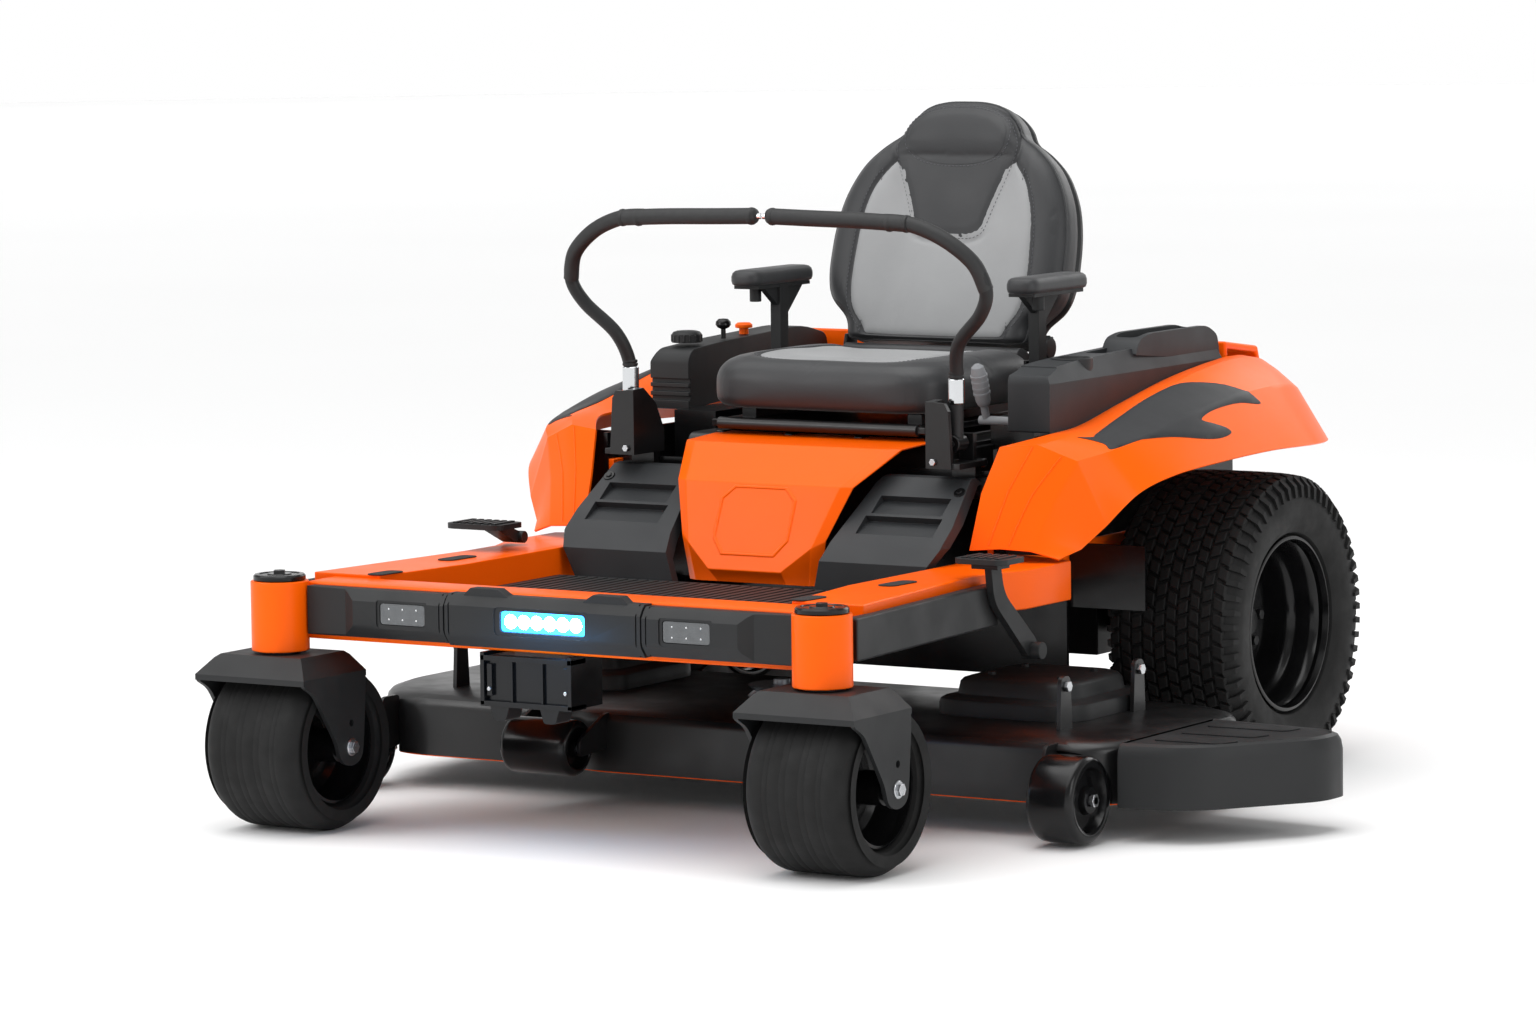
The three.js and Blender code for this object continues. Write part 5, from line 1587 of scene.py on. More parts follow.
def add_panel(name, base, outline, flat, look, material, puff):
    """A sewn panel on a pad: its outline laid on the face, domed and tucked in along its seam."""
    line = dense(outline, 5.0)
    cu = sum(u for u, _ in line) / len(line)
    cv = sum(v for _, v in line) / len(line)
    shares = [1.0, 0.988, 0.972, 0.95, 0.92, 0.88] + [0.82 - 0.06 * i for i in range(14)]
    lifts = [-1.0, 0.3, 0.9, 1.4, 1.8, 2.0] + [puff] * 14
    tree = BVHTree.FromObject(base, bpy.context.evaluated_depsgraph_get())
    bm = bmesh.new()
    rings = []
    for share, lift in zip(shares, lifts):
        ring = []
        for u, v in line:
            spot = flat(cu + (u - cu) * share, cv + (v - cv) * share, 0)
            hit = tree.ray_cast(spot - look * 0.9, look)[0]
            if hit is None:
                hit = tree.find_nearest(spot)[0]
            ring.append(bm.verts.new(hit - look * min(lift, puff) / 1000))
        rings.append(ring)
    bridge(bm, rings, foot=False)
    panel = object_of(name, bm, shelf(material))
    panel.data.shade_smooth()
    return panel


def add_stitches(bm, spots, pitch=8.0, length=5.0, radius=0.75):
    """Thread laid along points in metres, as short rounded stitches."""
    gone = 0.0
    for first, second in zip(spots, spots[1:] + spots[:1]):
        step = (second - first).length * 1000
        if step < 1e-6:
            continue
        along = (second - first).normalized()
        while gone < step:
            start_at = first + along * gone / 1000
            side = along.orthogonal().normalized()
            up = along.cross(side)
            rings = []
            for t, share in ((0.0, 0.3), (0.2, 1.0), (0.8, 1.0), (1.0, 0.3)):
                centre = start_at + along * t * length / 1000
                ring = []
                for k in range(6):
                    turn = math.pi / 3 * k
                    offset = side * math.cos(turn) + up * math.sin(turn)
                    ring.append(bm.verts.new(centre + offset * radius * share / 1000))
                rings.append(ring)
            bridge(bm, rings)
            gone += pitch
        gone -= step


def oval(cu, cv, ru, rv, count=72, power=2.4):
    line = []
    for i in range(count):
        turn = math.tau * i / count
        c, s = math.cos(turn), math.sin(turn)
        line.append((cu + ru * math.copysign(abs(c) ** (2 / power), c),
                cv + rv * math.copysign(abs(s) ** (2 / power), s)))
    return line


def make_seat_cushion(settings):
    """The seat pad: dark bolsters and front roll round a pale middle panel."""
    y0, y1 = span("seat_cushion", 1)
    half = span("seat_cushion", 0)[1]
    low, high = span("seat_cushion", 2)
    rim = [(-half + 4, y1 - 3), (-half + 4, y0 + 4), (half - 4, y0 + 4), (half - 4, y1 - 3)]
    outline = dense(rounded_outline(rim, [70, 96, 96, 70], 10), 12)
    levels = [(30, low + 1), (8, low + 6), (0, low + 18), (-0.5, low + 40), (0, low + 58), (6, low + 74),
        (17, low + 86)]
    levels += [(34, low + 94), (58, low + 97)]
    flat = lambda u, v, w: at(u, v, w)
    pad = pad_object("seat_pad", outline, levels, flat, "dark_vinyl")
    pale = [(-150, y1 - 12), (-178, y0 + 150), (-168, y0 + 66), (168, y0 + 66), (178, y0 + 150),
        (150, y1 - 12)]
    pale = rounded_outline(pale, [10, 60, 62, 62, 60, 10], 8)
    seam = dense(pale, 3)
    near = nearest_to([(at(u, v, 0).x, at(u, v, 0).y) for u, v in seam])
    mid = at(0, 0, low + 60).z

    def shape(co):
        if co.z < mid:
            return co
        x = (co.x - CENTRE_X) / 0.17
        y = (co.y - at(0, (y0 + y1) / 2 + 20, 0).y) / 0.2
        dent = 0.013 * max(0, 1 - x**4) * max(0, 1 - max(0, -y) ** 4)
        return co - Vector((0, 0, dent * min(1, (co.z - mid) / 0.02)))

    def held(co):
        if co.z < at(0, 0, low + 14).z:
            return 1.0
        return 1.0 if co.z > mid and near(co.x, co.y) < 0.005 else 0.0

    inflate(pad, shape, held, settings)
    down = Vector((0, 0, -1))
    laid = lay_on(pad, [flat(u, v, high) for u, v in seam], down)
    press_seam(pad, laid, 10, 3.0)
    fit(pad, "seat", "seat_vinyl", "seat_cushion")
    panel = add_panel("seat_panel", pad, pale, flat, down, "pale_vinyl", 2.2)
    fit(panel, "seat", "seat_vinyl")

    bm = bmesh.new()
    grow = [(u * 1.045, (y0 + y1) / 2 + (v - (y0 + y1) / 2) * 1.04) for u, v in dense(pale, 4)]
    grow = [(u, v) for u, v in grow if v < y1 - 14]
    add_stitches(bm, lay_on(pad, [flat(u, v, high) for u, v in grow], down, 0.3)[:-1])
    thread = object_of("seat_stitches", bm, shelf("thread"))
    thread.data.shade_smooth()
    fit(thread, "seat", "seat_vinyl")


BACK_TURN = Matrix.Translation(at(0, -20, 754)) @ Matrix.Rotation(math.radians(-16), 4, "X")
BACK_HALF = [(0, 0), (194, 0), (199, 40), (246, 80), (256, 130), (254, 212), (240, 280), (206, 342),
    (160, 380), (130, 396)]
BACK_HALF += [(118, 424), (84, 454), (40, 464), (0, 464)]


def make_backrest(settings):
    """The backrest: dark bolsters, a pale panel, a dark tongue and a headrest, on a moulded shell."""
    outline = BACK_HALF[1:-1] + [(-u, v) for u, v in reversed(BACK_HALF[1:-1])]
    radii = [12, 30, *([60] * (len(BACK_HALF) - 4))]
    rim = rounded_outline([(u * 0.988, 2 + v * 0.988) for u, v in outline], radii + radii[::-1], 6)
    line = dense(rim, 11)
    # In the pad's own place the face looks along -Y: u runs across, v up, and w back from the face.
    flat = lambda u, v, w: Vector((u, w, v)) / 1000
    levels = [(14, -18), (5, -26), (0, -40), (0, -66), (4, -80), (13, -91), (26, -97), (44, -99)]
    pad = pad_object("back_pad", line, levels, flat, "dark_vinyl", 2)
    half = [(147, 9), (154, 24), (182, 58), (189, 100), (188, 165), (181, 246), (160, 305), (120, 352)]
    pale = rounded_outline([(-u, v) for u, v in half] + half[::-1], [6, 20, 40, 60, 60, 60, 40, 20] * 2, 6)
    half = [(54, 189), (78, 200), (96, 255), (127, 335), (136, 372), (126, 396), (110, 424), (80, 444),
        (38, 453)]
    tongue = rounded_outline([(-u, v) for u, v in half] + half[::-1],
        [10, 18, 40, 40, 26, 20, 20, 20, 20] * 2, 5)
    head = oval(0, 388, 106, 54)
    near_pale = nearest_to([(u / 1000, v / 1000) for u, v in dense(pale, 3)])
    near_head = nearest_to([(u / 1000, v / 1000) for u, v in dense(tongue, 3)])

    def shape(co):
        if co.y > -0.05:
            return co
        x, v = co.x / 0.165, (co.z - 0.17) / 0.21
        dent = 0.015 * max(0, 1 - x**4) * max(0, 1 - v**6)
        return co + Vector((0, dent * min(1, (-0.05 - co.y) / 0.02), 0))

    def held(co):
        if co.y > -0.032:
            return 1.0
        if co.y < -0.07 and min(near_pale(co.x, co.z), near_head(co.x, co.z)) < 0.005:
            return 1.0
        return 0.0

    inflate(pad, shape, held, settings)
    back = Vector((0, 1, 0))
    for seam in (pale, tongue):
        laid = lay_on(pad, [flat(u, v, -105) for u, v in dense(seam, 3)], back)
        press_seam(pad, laid, 10, 3.0)
    pieces = [pad]
    pieces.append(add_panel("back_panel", pad, pale, flat, back, "pale_vinyl", 2.0))
    pieces.append(add_panel("back_tongue", pad, tongue, flat, back, "dark_vinyl", 3.6))
    pieces.append(add_panel("headrest_pad", pieces[-1], head, flat, back, "dark_vinyl", 0.5))
    bm = bmesh.new()
    tongue_panel = pieces[2]
    for seam, share, base, lift in ((pale, 1.035, pad, 0.4), (head, 1.05, tongue_panel, 0.3),
        (tongue, 0.955, tongue_panel, 0.3)):
        cv = sum(v for _, v in seam) / len(seam)
        wide = [(u * share, cv + (v - cv) * share) for u, v in dense(seam, 4)]
        runs = [[]]
        for u, v in wide + wide[:1]:
            if v > 10 and (seam is not pale or v < 330):
                runs[-1].append((u, v))
            else:
                runs.append([])
        for run in runs:
            if len(run) > 3:
                add_stitches(bm, lay_on(base, [flat(a, b, -115) for a, b in run], back, lift)[:-1])
    thread = object_of("back_stitches", bm, shelf("thread"))
    thread.data.shade_smooth()

    rolls = [(22, -1), (8, -4), (2, -12), (1, -22), (8, -30)]
    shell = pad_object("back_shell", line, rolls, flat, "black", 2)
    shade(shell, 40)
    tree = BVHTree.FromObject(pad, bpy.context.evaluated_depsgraph_get())
    bm = bmesh.new()
    spots = []
    for u, v in dense(rim, 8):
        hit = tree.find_nearest(flat(u, v, -76))[0]
        spots.append(((hit.x - CENTRE_X) * 1000, (hit.y - AXLE_Y) * 1000, hit.z * 1000))
    add_sweep(bm, spots + spots[:1], 2.2, 10)
    welt = object_of("back_welt", bm, shelf("dark_vinyl"))
    welt.data.shade_smooth()
    for piece in [*pieces, thread, shell, welt]:
        piece.data.transform(BACK_TURN)
    for piece in pieces:
        fit(piece, "backrest", "seat_vinyl", *(["backrest"] if piece is pad else []))
    fit(thread, "backrest", "seat_vinyl")
    fit(welt, "backrest", "seat_vinyl")
    fit(shell, "backrest", "black_plastic")

    low, high = span("recline_knob", 0)
    y, z = sum(span("recline_knob", 1)) / 2, sum(span("recline_knob", 2)) / 2
    profile = [(0, low), (19, low), (20, low + 1), (21.5, low + 5), (21.5, low + 15), (19, high - 1),
        (12, high), (0, high - 1)]
    bm = bmesh.new()
    add_lathe(bm, profile, "x", [0, y, z], 48)
    for k in range(12):
        turn = math.tau * k / 12
        add_rod(bm, "x", 3, low + 3, low + 17, [0, y + 20.4 * math.cos(turn), z + 20.4 * math.sin(turn)], 10)
    add_piece(bm, "recline_wheel", "black", "recline_knob", "black_plastic", "recline_knob", angle=36)


def make_apron():
    """The dark skirt that closes the gap between the cushion's rear and the backrest's foot."""
    outline = [(-118, 700), (-66, 700), (-66, 752), (-84, 765), (-106, 771), (-118, 764)]
    skirt = prism_object("seat_apron", rounded_outline(outline, 6, 3), "x", -188, 188)
    repaint(skirt, "dark_vinyl")
    soften(skirt, 5, 3)
    fit(skirt, "seat", "seat_vinyl")


def make_seat_base():
    """The hinged pan and runners under the seat, and the black pressed base that they lie over."""
    copy_of("seat_pan", "seat_frame", "steel", 1.4, "black_steel", "seat", 2)
    bm = bmesh.new()
    tray = rounded_outline([(-520, 450), (-512, 600), (-496, 630), (-90, 630), (-70, 600), (-70, 450)],
        [0, 22, 12, 16, 16, 0], 4)
    add_prism(bm, tray, "x", -288, 288)
    for x in (-220, -74, 74, 220):
        add_box(bm, (x - 9, x + 9), (-500, -100), (629, 636))
    for side in SIDES.values():
        add_box(bm, (side * 286, side * 298), (-470, -120), (560, 622))
    add_piece(bm, "seat_base", "steel", "frame", "black_steel", width=3, segments=3, angle=28)
    bm = bmesh.new()
    for side in SIDES.values():
        for y in (-440, -300, -160):
            add_hex(bm, "x", 9, side * 298, side * 304, [0, y, 592])
    add_piece(bm, "seat_base_bolts", "zinc", "frame", "black_steel")


def make_armrests():
    """Padded armrests on square posts, with a gusset under each pad."""
    for hand, side in SIDES.items():
        top = span(f"armrest_{hand}", 2)[1]
        outline = [(side * 294 + u, v) for u, v in ((-32, -302), (32, -302), (30, -86), (-30, -86))]
        line = dense(rounded_outline(outline, [26, 26, 18, 18], 7), 9)
        levels = [(6, top - 30), (1.5, top - 27), (0, top - 21), (0, top - 13), (2, top - 6), (6, top - 2.2),
            (12, top - 0.6), (20, top)]
        pad = pad_object(f"arm_pad_{hand}", line, levels, lambda u, v, w: at(u, v, w), "dark_vinyl")
        pad.data.shade_smooth()
        fit(pad, f"armrest_{hand}", "seat_vinyl", f"armrest_{hand}")
        bm = bmesh.new()
        add_box(bm, (side * 265, side * 287), (-212, -184), (742, top - 30))
        add_rod(bm, "x", 18, side * 265, side * 287, [0, -198, 742], 40)
        for near, far, drop, step in ((-184, -120, 92, -8), (-212, -262, 70, 8)):
            gusset = [(near, top - drop), (near, top - 31), (far, top - 31), (far + step, top - 40)]
            add_prism(bm, gusset, "x", side * 270, side * 282)
        add_box(bm, (side * 266, side * 320), (-286, -104), (top - 36, top - 29.5))
        add_rod(bm, "z", 11, top - 62, top - 34, [side * 302, -240, 0], 32)
        add_piece(bm, f"arm_post_{hand}", "black", f"armrest_{hand}", "black_plastic", width=2.5, segments=3)


# ---- levers, pedals and small controls -----------------------------------------------------------
# A lever's tube from its pivot up into its grip, and the place of the grip's inner end.
LEVER_FOOT = (342, -607, 642)
GRIP_Y, GRIP_Z = -698, 1041
LEVER_LINE = [LEVER_FOOT, (342, -607, 700), (343, -607, 760), (359, -627, 818), (414, -645, 873),
    (434, -659, 918)]
LEVER_LINE += [(416, -673, 966), (364, -687, 1008), (302, -694, 1032), (250, -696, 1036)]


def make_levers():
    """The two steering levers with their sleeves, clamps, plated sockets and pivots."""
    for hand, side in SIDES.items():
        bm = bmesh.new()
        add_sweep(bm, mirrored(smooth_line(LEVER_LINE, 9), side), 12.3, 28, 0)
        add_rod(bm, "y", 15, -18, 18, mirrored([LEVER_FOOT], side)[0], 32, 1)
        for z, r in ((758, 14.2), (764, 13.6)):
            add_rod(bm, "z", r, z, z + 5, [side * 342.6, -607.5, 0], 32, 0)
        add_piece(bm, f"lever_tube_{hand}", "black steel", f"lever_{hand}", "grip_rubber", f"lever_{hand}",
            angle=34)
        bm = bmesh.new()
        add_rod(bm, "z", 15, 712, 757, [side * 342, -607, 0], 48, 0, 2)
        add_rod(bm, "x", 5.2, side * 1.2, side * 20, [0, GRIP_Y, GRIP_Z], 24, 0)
        add_piece(bm, f"lever_socket_{hand}", "chrome", f"lever_{hand}", "blade_steel", angle=34)
        grip = [(292, -695.5, 1033), (200, -697, 1037), (100, -697.6, 1039), (17, GRIP_Y, GRIP_Z)]
        bm = bmesh.new()
        add_sweep(bm, mirrored(smooth_line(grip, 8), side), 14.6, 28, 0)
        tip = [(14.4, 17), (12.5, 13), (8, 10.5), (0, 10.5), (0, 17)]
        add_lathe(bm, [(r, x * side) for r, x in tip], "x", [0, GRIP_Y, GRIP_Z], 32)
        bend = smooth_line(LEVER_LINE[5:] + [(290, -695.6, 1033)], 9)[:-10]
        add_sweep(bm, mirrored(bend, side), 13.9, 28, 0)
        for x in (296, 262, 22):
            spot = [side * x, GRIP_Y + x * 0.0088, GRIP_Z - (x - 9) * 0.0285]
            add_lathe(bm, [(13, -5), (15.2, -4), (15.9, 0), (15.2, 4), (13, 5)], "x", spot, 32, 0)
        add_piece(bm, f"lever_sleeve_{hand}", "sleeve", f"lever_{hand}", "grip_rubber", angle=40)
        copy_of(f"lever_pivot_{hand}", f"lever_bracket_{hand}", "steel", 1.6, "black_steel",
            f"lever_pivot_{hand}", 2)
        bm = bmesh.new()
        add_hex(bm, "y", 6.5, -661, -654, [side * 322, 0, 612])
        add_piece(bm, f"bracket_bolts_{hand}", "zinc", f"lever_pivot_{hand}", "black_steel")


def tread_plate(bm, x, y, z0, z1, ribs=5):
    """A pedal's plate with rounded corners and raised ribs across it."""
    plate = [(x[0], y[0] + 10), (x[0] + 14, y[0]), (x[1] - 14, y[0]), (x[1], y[0] + 10), (x[1], y[1]),
        (x[0], y[1])]
    add_prism(bm, rounded_outline(plate, 12, 4), "z", z0, z1 - 2.5)
    step = (x[1] - x[0] - 20) / ribs
    for k in range(ribs):
        u = x[0] + 10 + step * (k + 0.5)
        add_box(bm, (u - step * 0.28, u + step * 0.28), (y[0] + 9, y[1] - 8), (z1 - 3, z1))


def make_pedals():
    """The deck lift pedal on its curved arm, the brake pedal and their hubs."""
    px, pz = 560, 302
    bm = bmesh.new()
    arm = [(-722, 292), (-724, 320), (-836, 412), (-848, 470), (-882, 470), (-870, 398), (-754, 294)]
    add_prism(bm, rounded_outline(arm, [8, 10, 26, 4, 4, 26, 8], 5), "x", px - 7, px + 7)
    tread_plate(bm, (508, 610), (-915, -835), 468, 480)
    add_rod(bm, "x", 15, px - 12, px + 26, [0, -736, pz], 32)
    add_box(bm, (px - 26, px + 26), (-892, -850), (458, 469))
    add_piece(bm, "lift_pedal", "black", "deck_lift_pedal", "black_plastic", "deck_lift_pedal", width=1.8)

    bx = -492
    bm = bmesh.new()
    tread_plate(bm, (bx - 60, bx + 60), (-908, -828), 480, 492, 6)
    arm = [(-786, 446), (-762, 460), (-836, 487), (-876, 487)]
    add_prism(bm, rounded_outline(arm, [6, 6, 2, 2], 3), "x", bx - 16, bx + 16)
    add_rod(bm, "x", 11, bx - 24, bx + 24, [0, -772, 455], 32)
    add_piece(bm, "foot_brake", "black", "brake_pedal", "black_plastic", "brake_pedal", width=1.8)

    centre = Vector((306, -438, 668))
    profile = [(0, 4), (7, 4), (7, 28), (11, 31), (13.4, 38), (14.6, 56), (15, 72), (14, 90), (11, 103),
        (5, 108), (0, 108)]
    bm = bmesh.new()
    add_lathe(bm, profile, "z", tuple(centre), 40)
    for k in range(4):
        a = 50 + k * 11
        add_lathe(bm, [(12, a), (15.6, a + 1), (15.6, a + 5), (12, a + 6)], "z", tuple(centre), 40)
    handle = object_of("park_brake_grip", bm, shelf("pale_grip"))
    pivot = Matrix.Translation(at(*centre))
    handle.data.transform(pivot @ Matrix.Rotation(math.radians(18), 4, "X") @ pivot.inverted())
    bm = bmesh.new()
    bm.from_mesh(handle.data)
    add_rod(bm, "x", 8, -14, 78, tuple(centre), 24)
    bm.to_mesh(handle.data)
    bm.free()
    shade(handle, 36)
    fit(handle, "parking_brake_lever", "pale_grip", "parking_brake_lever")


# ---- stage -------------------------------------------------------------------------------------
def make_stage(settings):
    """A pale floor under broad soft lights, seen from the front left."""
    scene = bpy.context.scene
    material, tree, place = start("studio_floor")
    tint = two_tone(tree, pattern(tree, place, 2500, 1.0), "#f4f4f4", "#f8f8f8")
    shader = add_node(tree, "ShaderNodeBsdfPrincipled", [("Base Color", tint)], Roughness=0.7)
    close(tree, shader)
    bm = bmesh.new()
    add_box(bm, (-40000, 40000), (-40000, 40000), (-20, -0.2))
    floor = object_of("studio_floor", bm, [material])

    world = bpy.data.worlds.new("studio")
    world.use_nodes = True
    world.node_tree.nodes["Background"].inputs["Color"].default_value = (1, 1, 1, 1)
    world.node_tree.nodes["Background"].inputs["Strength"].default_value = settings.surround
    scene.world = world

    def softbox(name, place_at, aim, width, height, power, tint=(1, 1, 1)):
        light = bpy.data.lights.new(name, "AREA")
        light.shape = "RECTANGLE"
        light.size, light.size_y = width, height
        light.energy = power * settings.light
        light.color = tint
        lamp = bpy.data.objects.new(name, light)
        lamp.location = place_at
        lamp.rotation_euler = (Vector(aim) - Vector(place_at)).to_track_quat("-Z", "Y").to_euler()
        scene.collection.objects.link(lamp)
        return lamp

    sun = bpy.data.objects.new("soft_sky", bpy.data.lights.new("soft_sky", "SUN"))
    sun.data.angle = math.radians(75)
    sun.data.energy = 2.1 * settings.light
    sun.rotation_euler = (math.radians(14), math.radians(-14), 0)
    scene.collection.objects.link(sun)
    softbox("overhead", (0.3, -0.2, 4.2), (0, 0, 0.4), 4.5, 3.5, 45)
    softbox("key", (-3.2, -4.4, 3.0), (0, -0.3, 0.5), 2.4, 1.8, 70)
    softbox("side", (4.6, -1.6, 2.2), (0, 0, 0.5), 2.0, 2.4, 45)
    softbox("rear", (1.0, 4.4, 2.8), (0, 0, 0.8), 3.5, 1.6, 40)

    glow, tree, _ = start("backdrop")
    panel = add_node(tree, "ShaderNodeEmission", Color=(1, 1, 1, 1), Strength=1.0)
    close(tree, panel)
    bm = bmesh.new()
    sides, reach = 32, 36000
    turns = [math.tau * k / sides for k in range(sides)]
    ring = [(math.cos(turn) * reach, math.sin(turn) * reach) for turn in turns]
    low_ring, high_ring = ([bm.verts.new(at(x, y, z)) for x, y in ring] for z in (-10, 9000))
    for k in range(sides):
        j = (k + 1) % sides
        bm.faces.new((low_ring[k], high_ring[k], high_ring[j], low_ring[j]))
    object_of("backdrop", bm, [glow])

    low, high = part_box("light_bar")
    x = (low[0] + high[0]) / 2
    spill, aim = (x, low[1] - 0.07, low[2] - 0.03), (x, low[1] + 0.2, low[2] - 0.16)
    softbox("diode_spill", spill, aim, 0.16, 0.03, 0.25, (0.1, 0.45, 1.0))

    camera = bpy.data.objects.new("camera", bpy.data.cameras.new("camera"))
    camera.data.lens = settings.lens
    camera.data.sensor_width = 36
    camera.data.clip_end = 200
    right, up = Vector((0.84930, 0.52778, -0.01189)), Vector((-0.04375, 0.09281, 0.99472))
    ahead = Vector((-0.52610, 0.84430, -0.10192))
    turn = Matrix((right, up, -ahead)).transposed().to_4x4()
    camera.matrix_world = Matrix.Translation(at(5837.4, -10057.8, 1644.1)) @ turn
    scene.collection.objects.link(camera)
    scene.camera = camera
    scene.view_settings.view_transform = "Standard"
    scene.view_settings.look = "None"


# ---- settings ----------------------------------------------------------------------------------
def distance(name, text, value):
    return FloatProperty(name=name, description=text, default=value, min=0, subtype="DISTANCE", unit="LENGTH")


class MowerWheelSettings(bpy.types.PropertyGroup):
    """Sizes of the tyres' tread and the forks' edges."""

    tread_rows: IntProperty(name="Tread rows", description="Rows of blocks across a rear tyre", default=10,
        min=3)
    tread_blocks: IntProperty(name="Tread blocks", description="Blocks round each row of a rear tyre",
        default=60, min=12)
    tread_depth: distance("Tread depth", "Height of the rear tyre's tread blocks", 0.007)
    fork_edge: distance("Fork edge", "Rounding of the caster forks' edges", 0.004)


class MowerBodySettings(bpy.types.PropertyGroup):
    """Sizes of the roundings and patterns on the body panels and the frame."""

    panel_edge: distance("Panel edge", "Rounding of the painted panels' folds", 0.006)
    rail_edge: distance("Rail edge", "Rounding of the side rails' edges", 0.007)
    bumper_edge: distance("Bumper edge", "Rounding of the bumper's edges", 0.003)
    fender_steps: IntProperty(name="Fender steps", description="Strips between two fender stations",
        default=8, min=2)
    mat_ribs: IntProperty(name="Mat ribs", description="Ribs across the floor mat", default=34, min=4)
    diodes: IntProperty(name="Diodes", description="Diodes in the light bar", default=6, min=1)


class MowerSeatSettings(bpy.types.PropertyGroup):
    """How the seat's pads are filled."""

    cloth_grid: distance("Cloth grid", "Size of the cloth's grid on the pads", 0.0055)
    cloth_reach: distance("Cloth reach", "Farthest that a pad's skin moves as it fills", 0.006)
    pressure: FloatProperty(name="Pressure", description="Pressure inside the pads while they fill",
        default=4, min=0)


class MowerStageSettings(bpy.types.PropertyGroup):
    """The studio's light and lens."""

    surround: FloatProperty(name="Surround", description="Strength of the white surround", default=0.4, min=0)
    light: FloatProperty(name="Light", description="Strength of all the soft lights together", default=1.0,
        min=0)
    lens: FloatProperty(name="Lens", description="Focal length of the camera in millimetres", default=145.97,
        min=1)


# ---- operators ---------------------------------------------------------------------------------
class MOWER_OT_wheels(bpy.types.Operator):
    """Builds the treaded rear tyres and the smooth caster tyres on their rims"""

    bl_idname = "mower.wheels"
    bl_label = "Wheels"

    def execute(self, context):
        for hand, side in SIDES.items():
            make_rear_wheel(hand, side, context.scene.mower_wheels)
            make_caster_wheel(hand)
        return {"FINISHED"}


class MOWER_OT_forks(bpy.types.Operator):
    """Builds the caster forks with their spindles, caps and axle bolts"""

    bl_idname = "mower.forks"
    bl_label = "Caster forks"

    def execute(self, context):
        for hand in SIDES:
            make_fork(hand, context.scene.mower_wheels)
        return {"FINISHED"}


class MOWER_OT_chassis(bpy.types.Operator):
    """Builds the cross beam with its posts, the side rails and the floor mat"""

    bl_idname = "mower.chassis"
    bl_label = "Frame and floor"

    def execute(self, context):
        make_front_beam()
        make_rails(context.scene.mower_body)
        make_shade_panels()
        make_floor_mat(context.scene.mower_body)
        return {"FINISHED"}


class MOWER_OT_bumper(bpy.types.Operator):
    """Builds the three bumper sections, the lamps and the diode bar"""

    bl_idname = "mower.bumper"
    bl_label = "Bumper and lamps"

    def execute(self, context):
        lamps = {"centre": "light_bar", "left": "headlamp_left", "right": "headlamp_right"}
        for name, lamp in lamps.items():
            make_bumper(name, lamp, context.scene.mower_body)
        make_bumper_tabs()
        make_lamps(context.scene.mower_body)
        return {"FINISHED"}


class MOWER_OT_panels(bpy.types.Operator):
    """Builds the cowl, the foot panels and the fenders"""

    bl_idname = "mower.panels"
    bl_label = "Body panels"

    def execute(self, context):
        make_cowl(context.scene.mower_body)
        make_step_panels(context.scene.mower_body)
        make_fenders(context.scene.mower_body)
        return {"FINISHED"}


class MOWER_OT_tanks(bpy.types.Operator):
    """Builds the tank and the control console with its knobs"""

    bl_idname = "mower.tanks"
    bl_label = "Tank and console"

    def execute(self, context):
        make_tank(context.scene.mower_body)
        make_console(context.scene.mower_body)
        return {"FINISHED"}


class MOWER_OT_rear(bpy.types.Operator):
    """Builds the rear hood, the guard, the engine, the drive axle and the battery box"""

    bl_idname = "mower.rear"
    bl_label = "Engine and rear"

    def execute(self, context):
        make_rear(context.scene.mower_body)
        return {"FINISHED"}


class MOWER_OT_deck(bpy.types.Operator):
    """Builds the cutting deck, its covers, the deflector, the rollers and the blades"""

    bl_idname = "mower.deck"
    bl_label = "Cutting deck"

    def execute(self, context):
        for build in (make_deck, make_deck_covers, make_deflector, make_rollers, make_blades):
            build()
        return {"FINISHED"}


class MOWER_OT_seat(bpy.types.Operator):
    """Builds the seat's pads, its base and the armrests"""

    bl_idname = "mower.seat"
    bl_label = "Seat"

    def execute(self, context):
        make_seat_cushion(context.scene.mower_seat)
        make_backrest(context.scene.mower_seat)
        make_apron()
        make_seat_base()
        make_armrests()
        return {"FINISHED"}


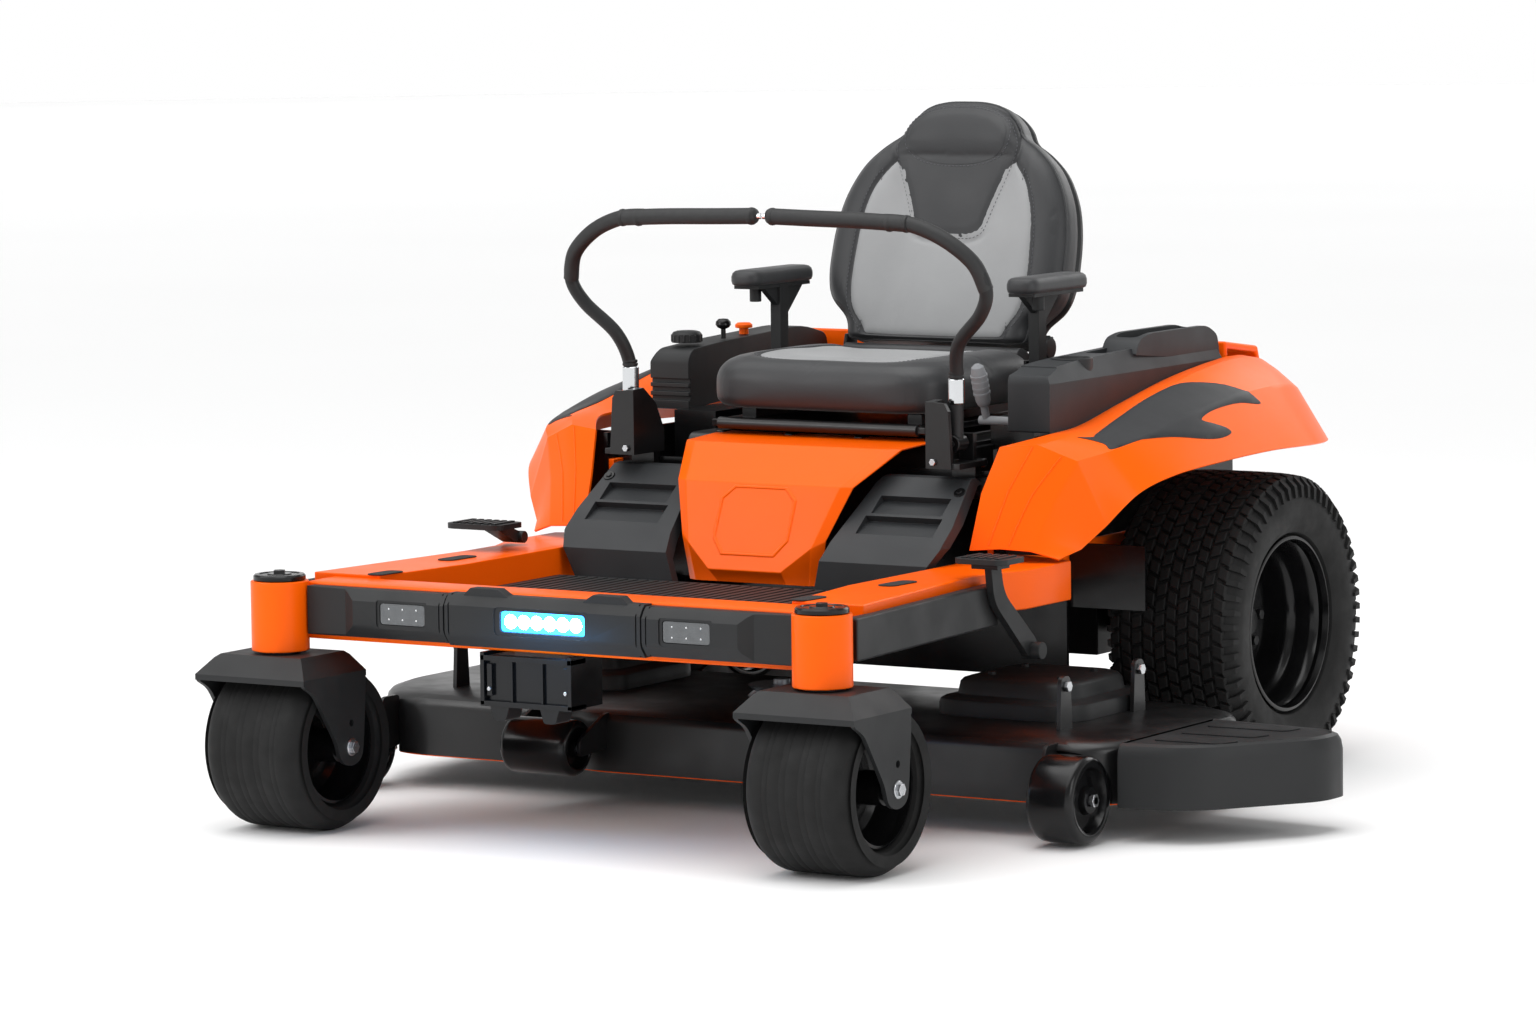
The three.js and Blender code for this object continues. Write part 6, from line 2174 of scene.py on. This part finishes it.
class MOWER_OT_controls(bpy.types.Operator):
    """Builds the steering levers, the pedals and the parking brake"""

    bl_idname = "mower.controls"
    bl_label = "Levers and pedals"

    def execute(self, context):
        make_levers()
        make_pedals()
        return {"FINISHED"}


class MOWER_OT_stage(bpy.types.Operator):
    """Sets the floor, the lights and the camera"""

    bl_idname = "mower.stage"
    bl_label = "Studio"

    def execute(self, context):
        make_stage(context.scene.mower_stage)
        return {"FINISHED"}


OPERATORS = (
    MOWER_OT_wheels,
    MOWER_OT_forks,
    MOWER_OT_chassis,
    MOWER_OT_bumper,
    MOWER_OT_panels,
    MOWER_OT_tanks,
    MOWER_OT_rear,
    MOWER_OT_deck,
    MOWER_OT_seat,
    MOWER_OT_controls,
    MOWER_OT_stage,
)

GROUPS = {
    "mower_wheels": MowerWheelSettings,
    "mower_body": MowerBodySettings,
    "mower_seat": MowerSeatSettings,
    "mower_stage": MowerStageSettings,
}


class MOWER_PT_sidebar(bpy.types.Panel):
    """The mower's settings and build steps"""

    bl_idname = "MOWER_PT_sidebar"
    bl_label = "Zero turn mower"
    bl_space_type = "VIEW_3D"
    bl_region_type = "UI"
    bl_category = "Mower"

    def draw(self, context):
        for attribute, group in GROUPS.items():
            box = self.layout.box()
            for key in group.__annotations__:
                box.prop(getattr(context.scene, attribute), key)
        for operator in OPERATORS:
            self.layout.operator(operator.bl_idname)


def register():
    for cls in (*GROUPS.values(), *OPERATORS, MOWER_PT_sidebar):
        bpy.utils.register_class(cls)
    for attribute, group in GROUPS.items():
        setattr(bpy.types.Scene, attribute, PointerProperty(type=group))


def unregister():
    for attribute in GROUPS:
        delattr(bpy.types.Scene, attribute)
    for cls in reversed((*GROUPS.values(), *OPERATORS, MOWER_PT_sidebar)):
        bpy.utils.unregister_class(cls)


def main():
    register()
    bpy.ops.mower.wheels()
    bpy.ops.mower.forks()
    bpy.ops.mower.chassis()
    bpy.ops.mower.bumper()
    bpy.ops.mower.panels()
    bpy.ops.mower.tanks()
    bpy.ops.mower.rear()
    bpy.ops.mower.deck()
    bpy.ops.mower.seat()
    bpy.ops.mower.controls()
    bpy.ops.mower.stage()


if __name__ == "__main__":
    main()
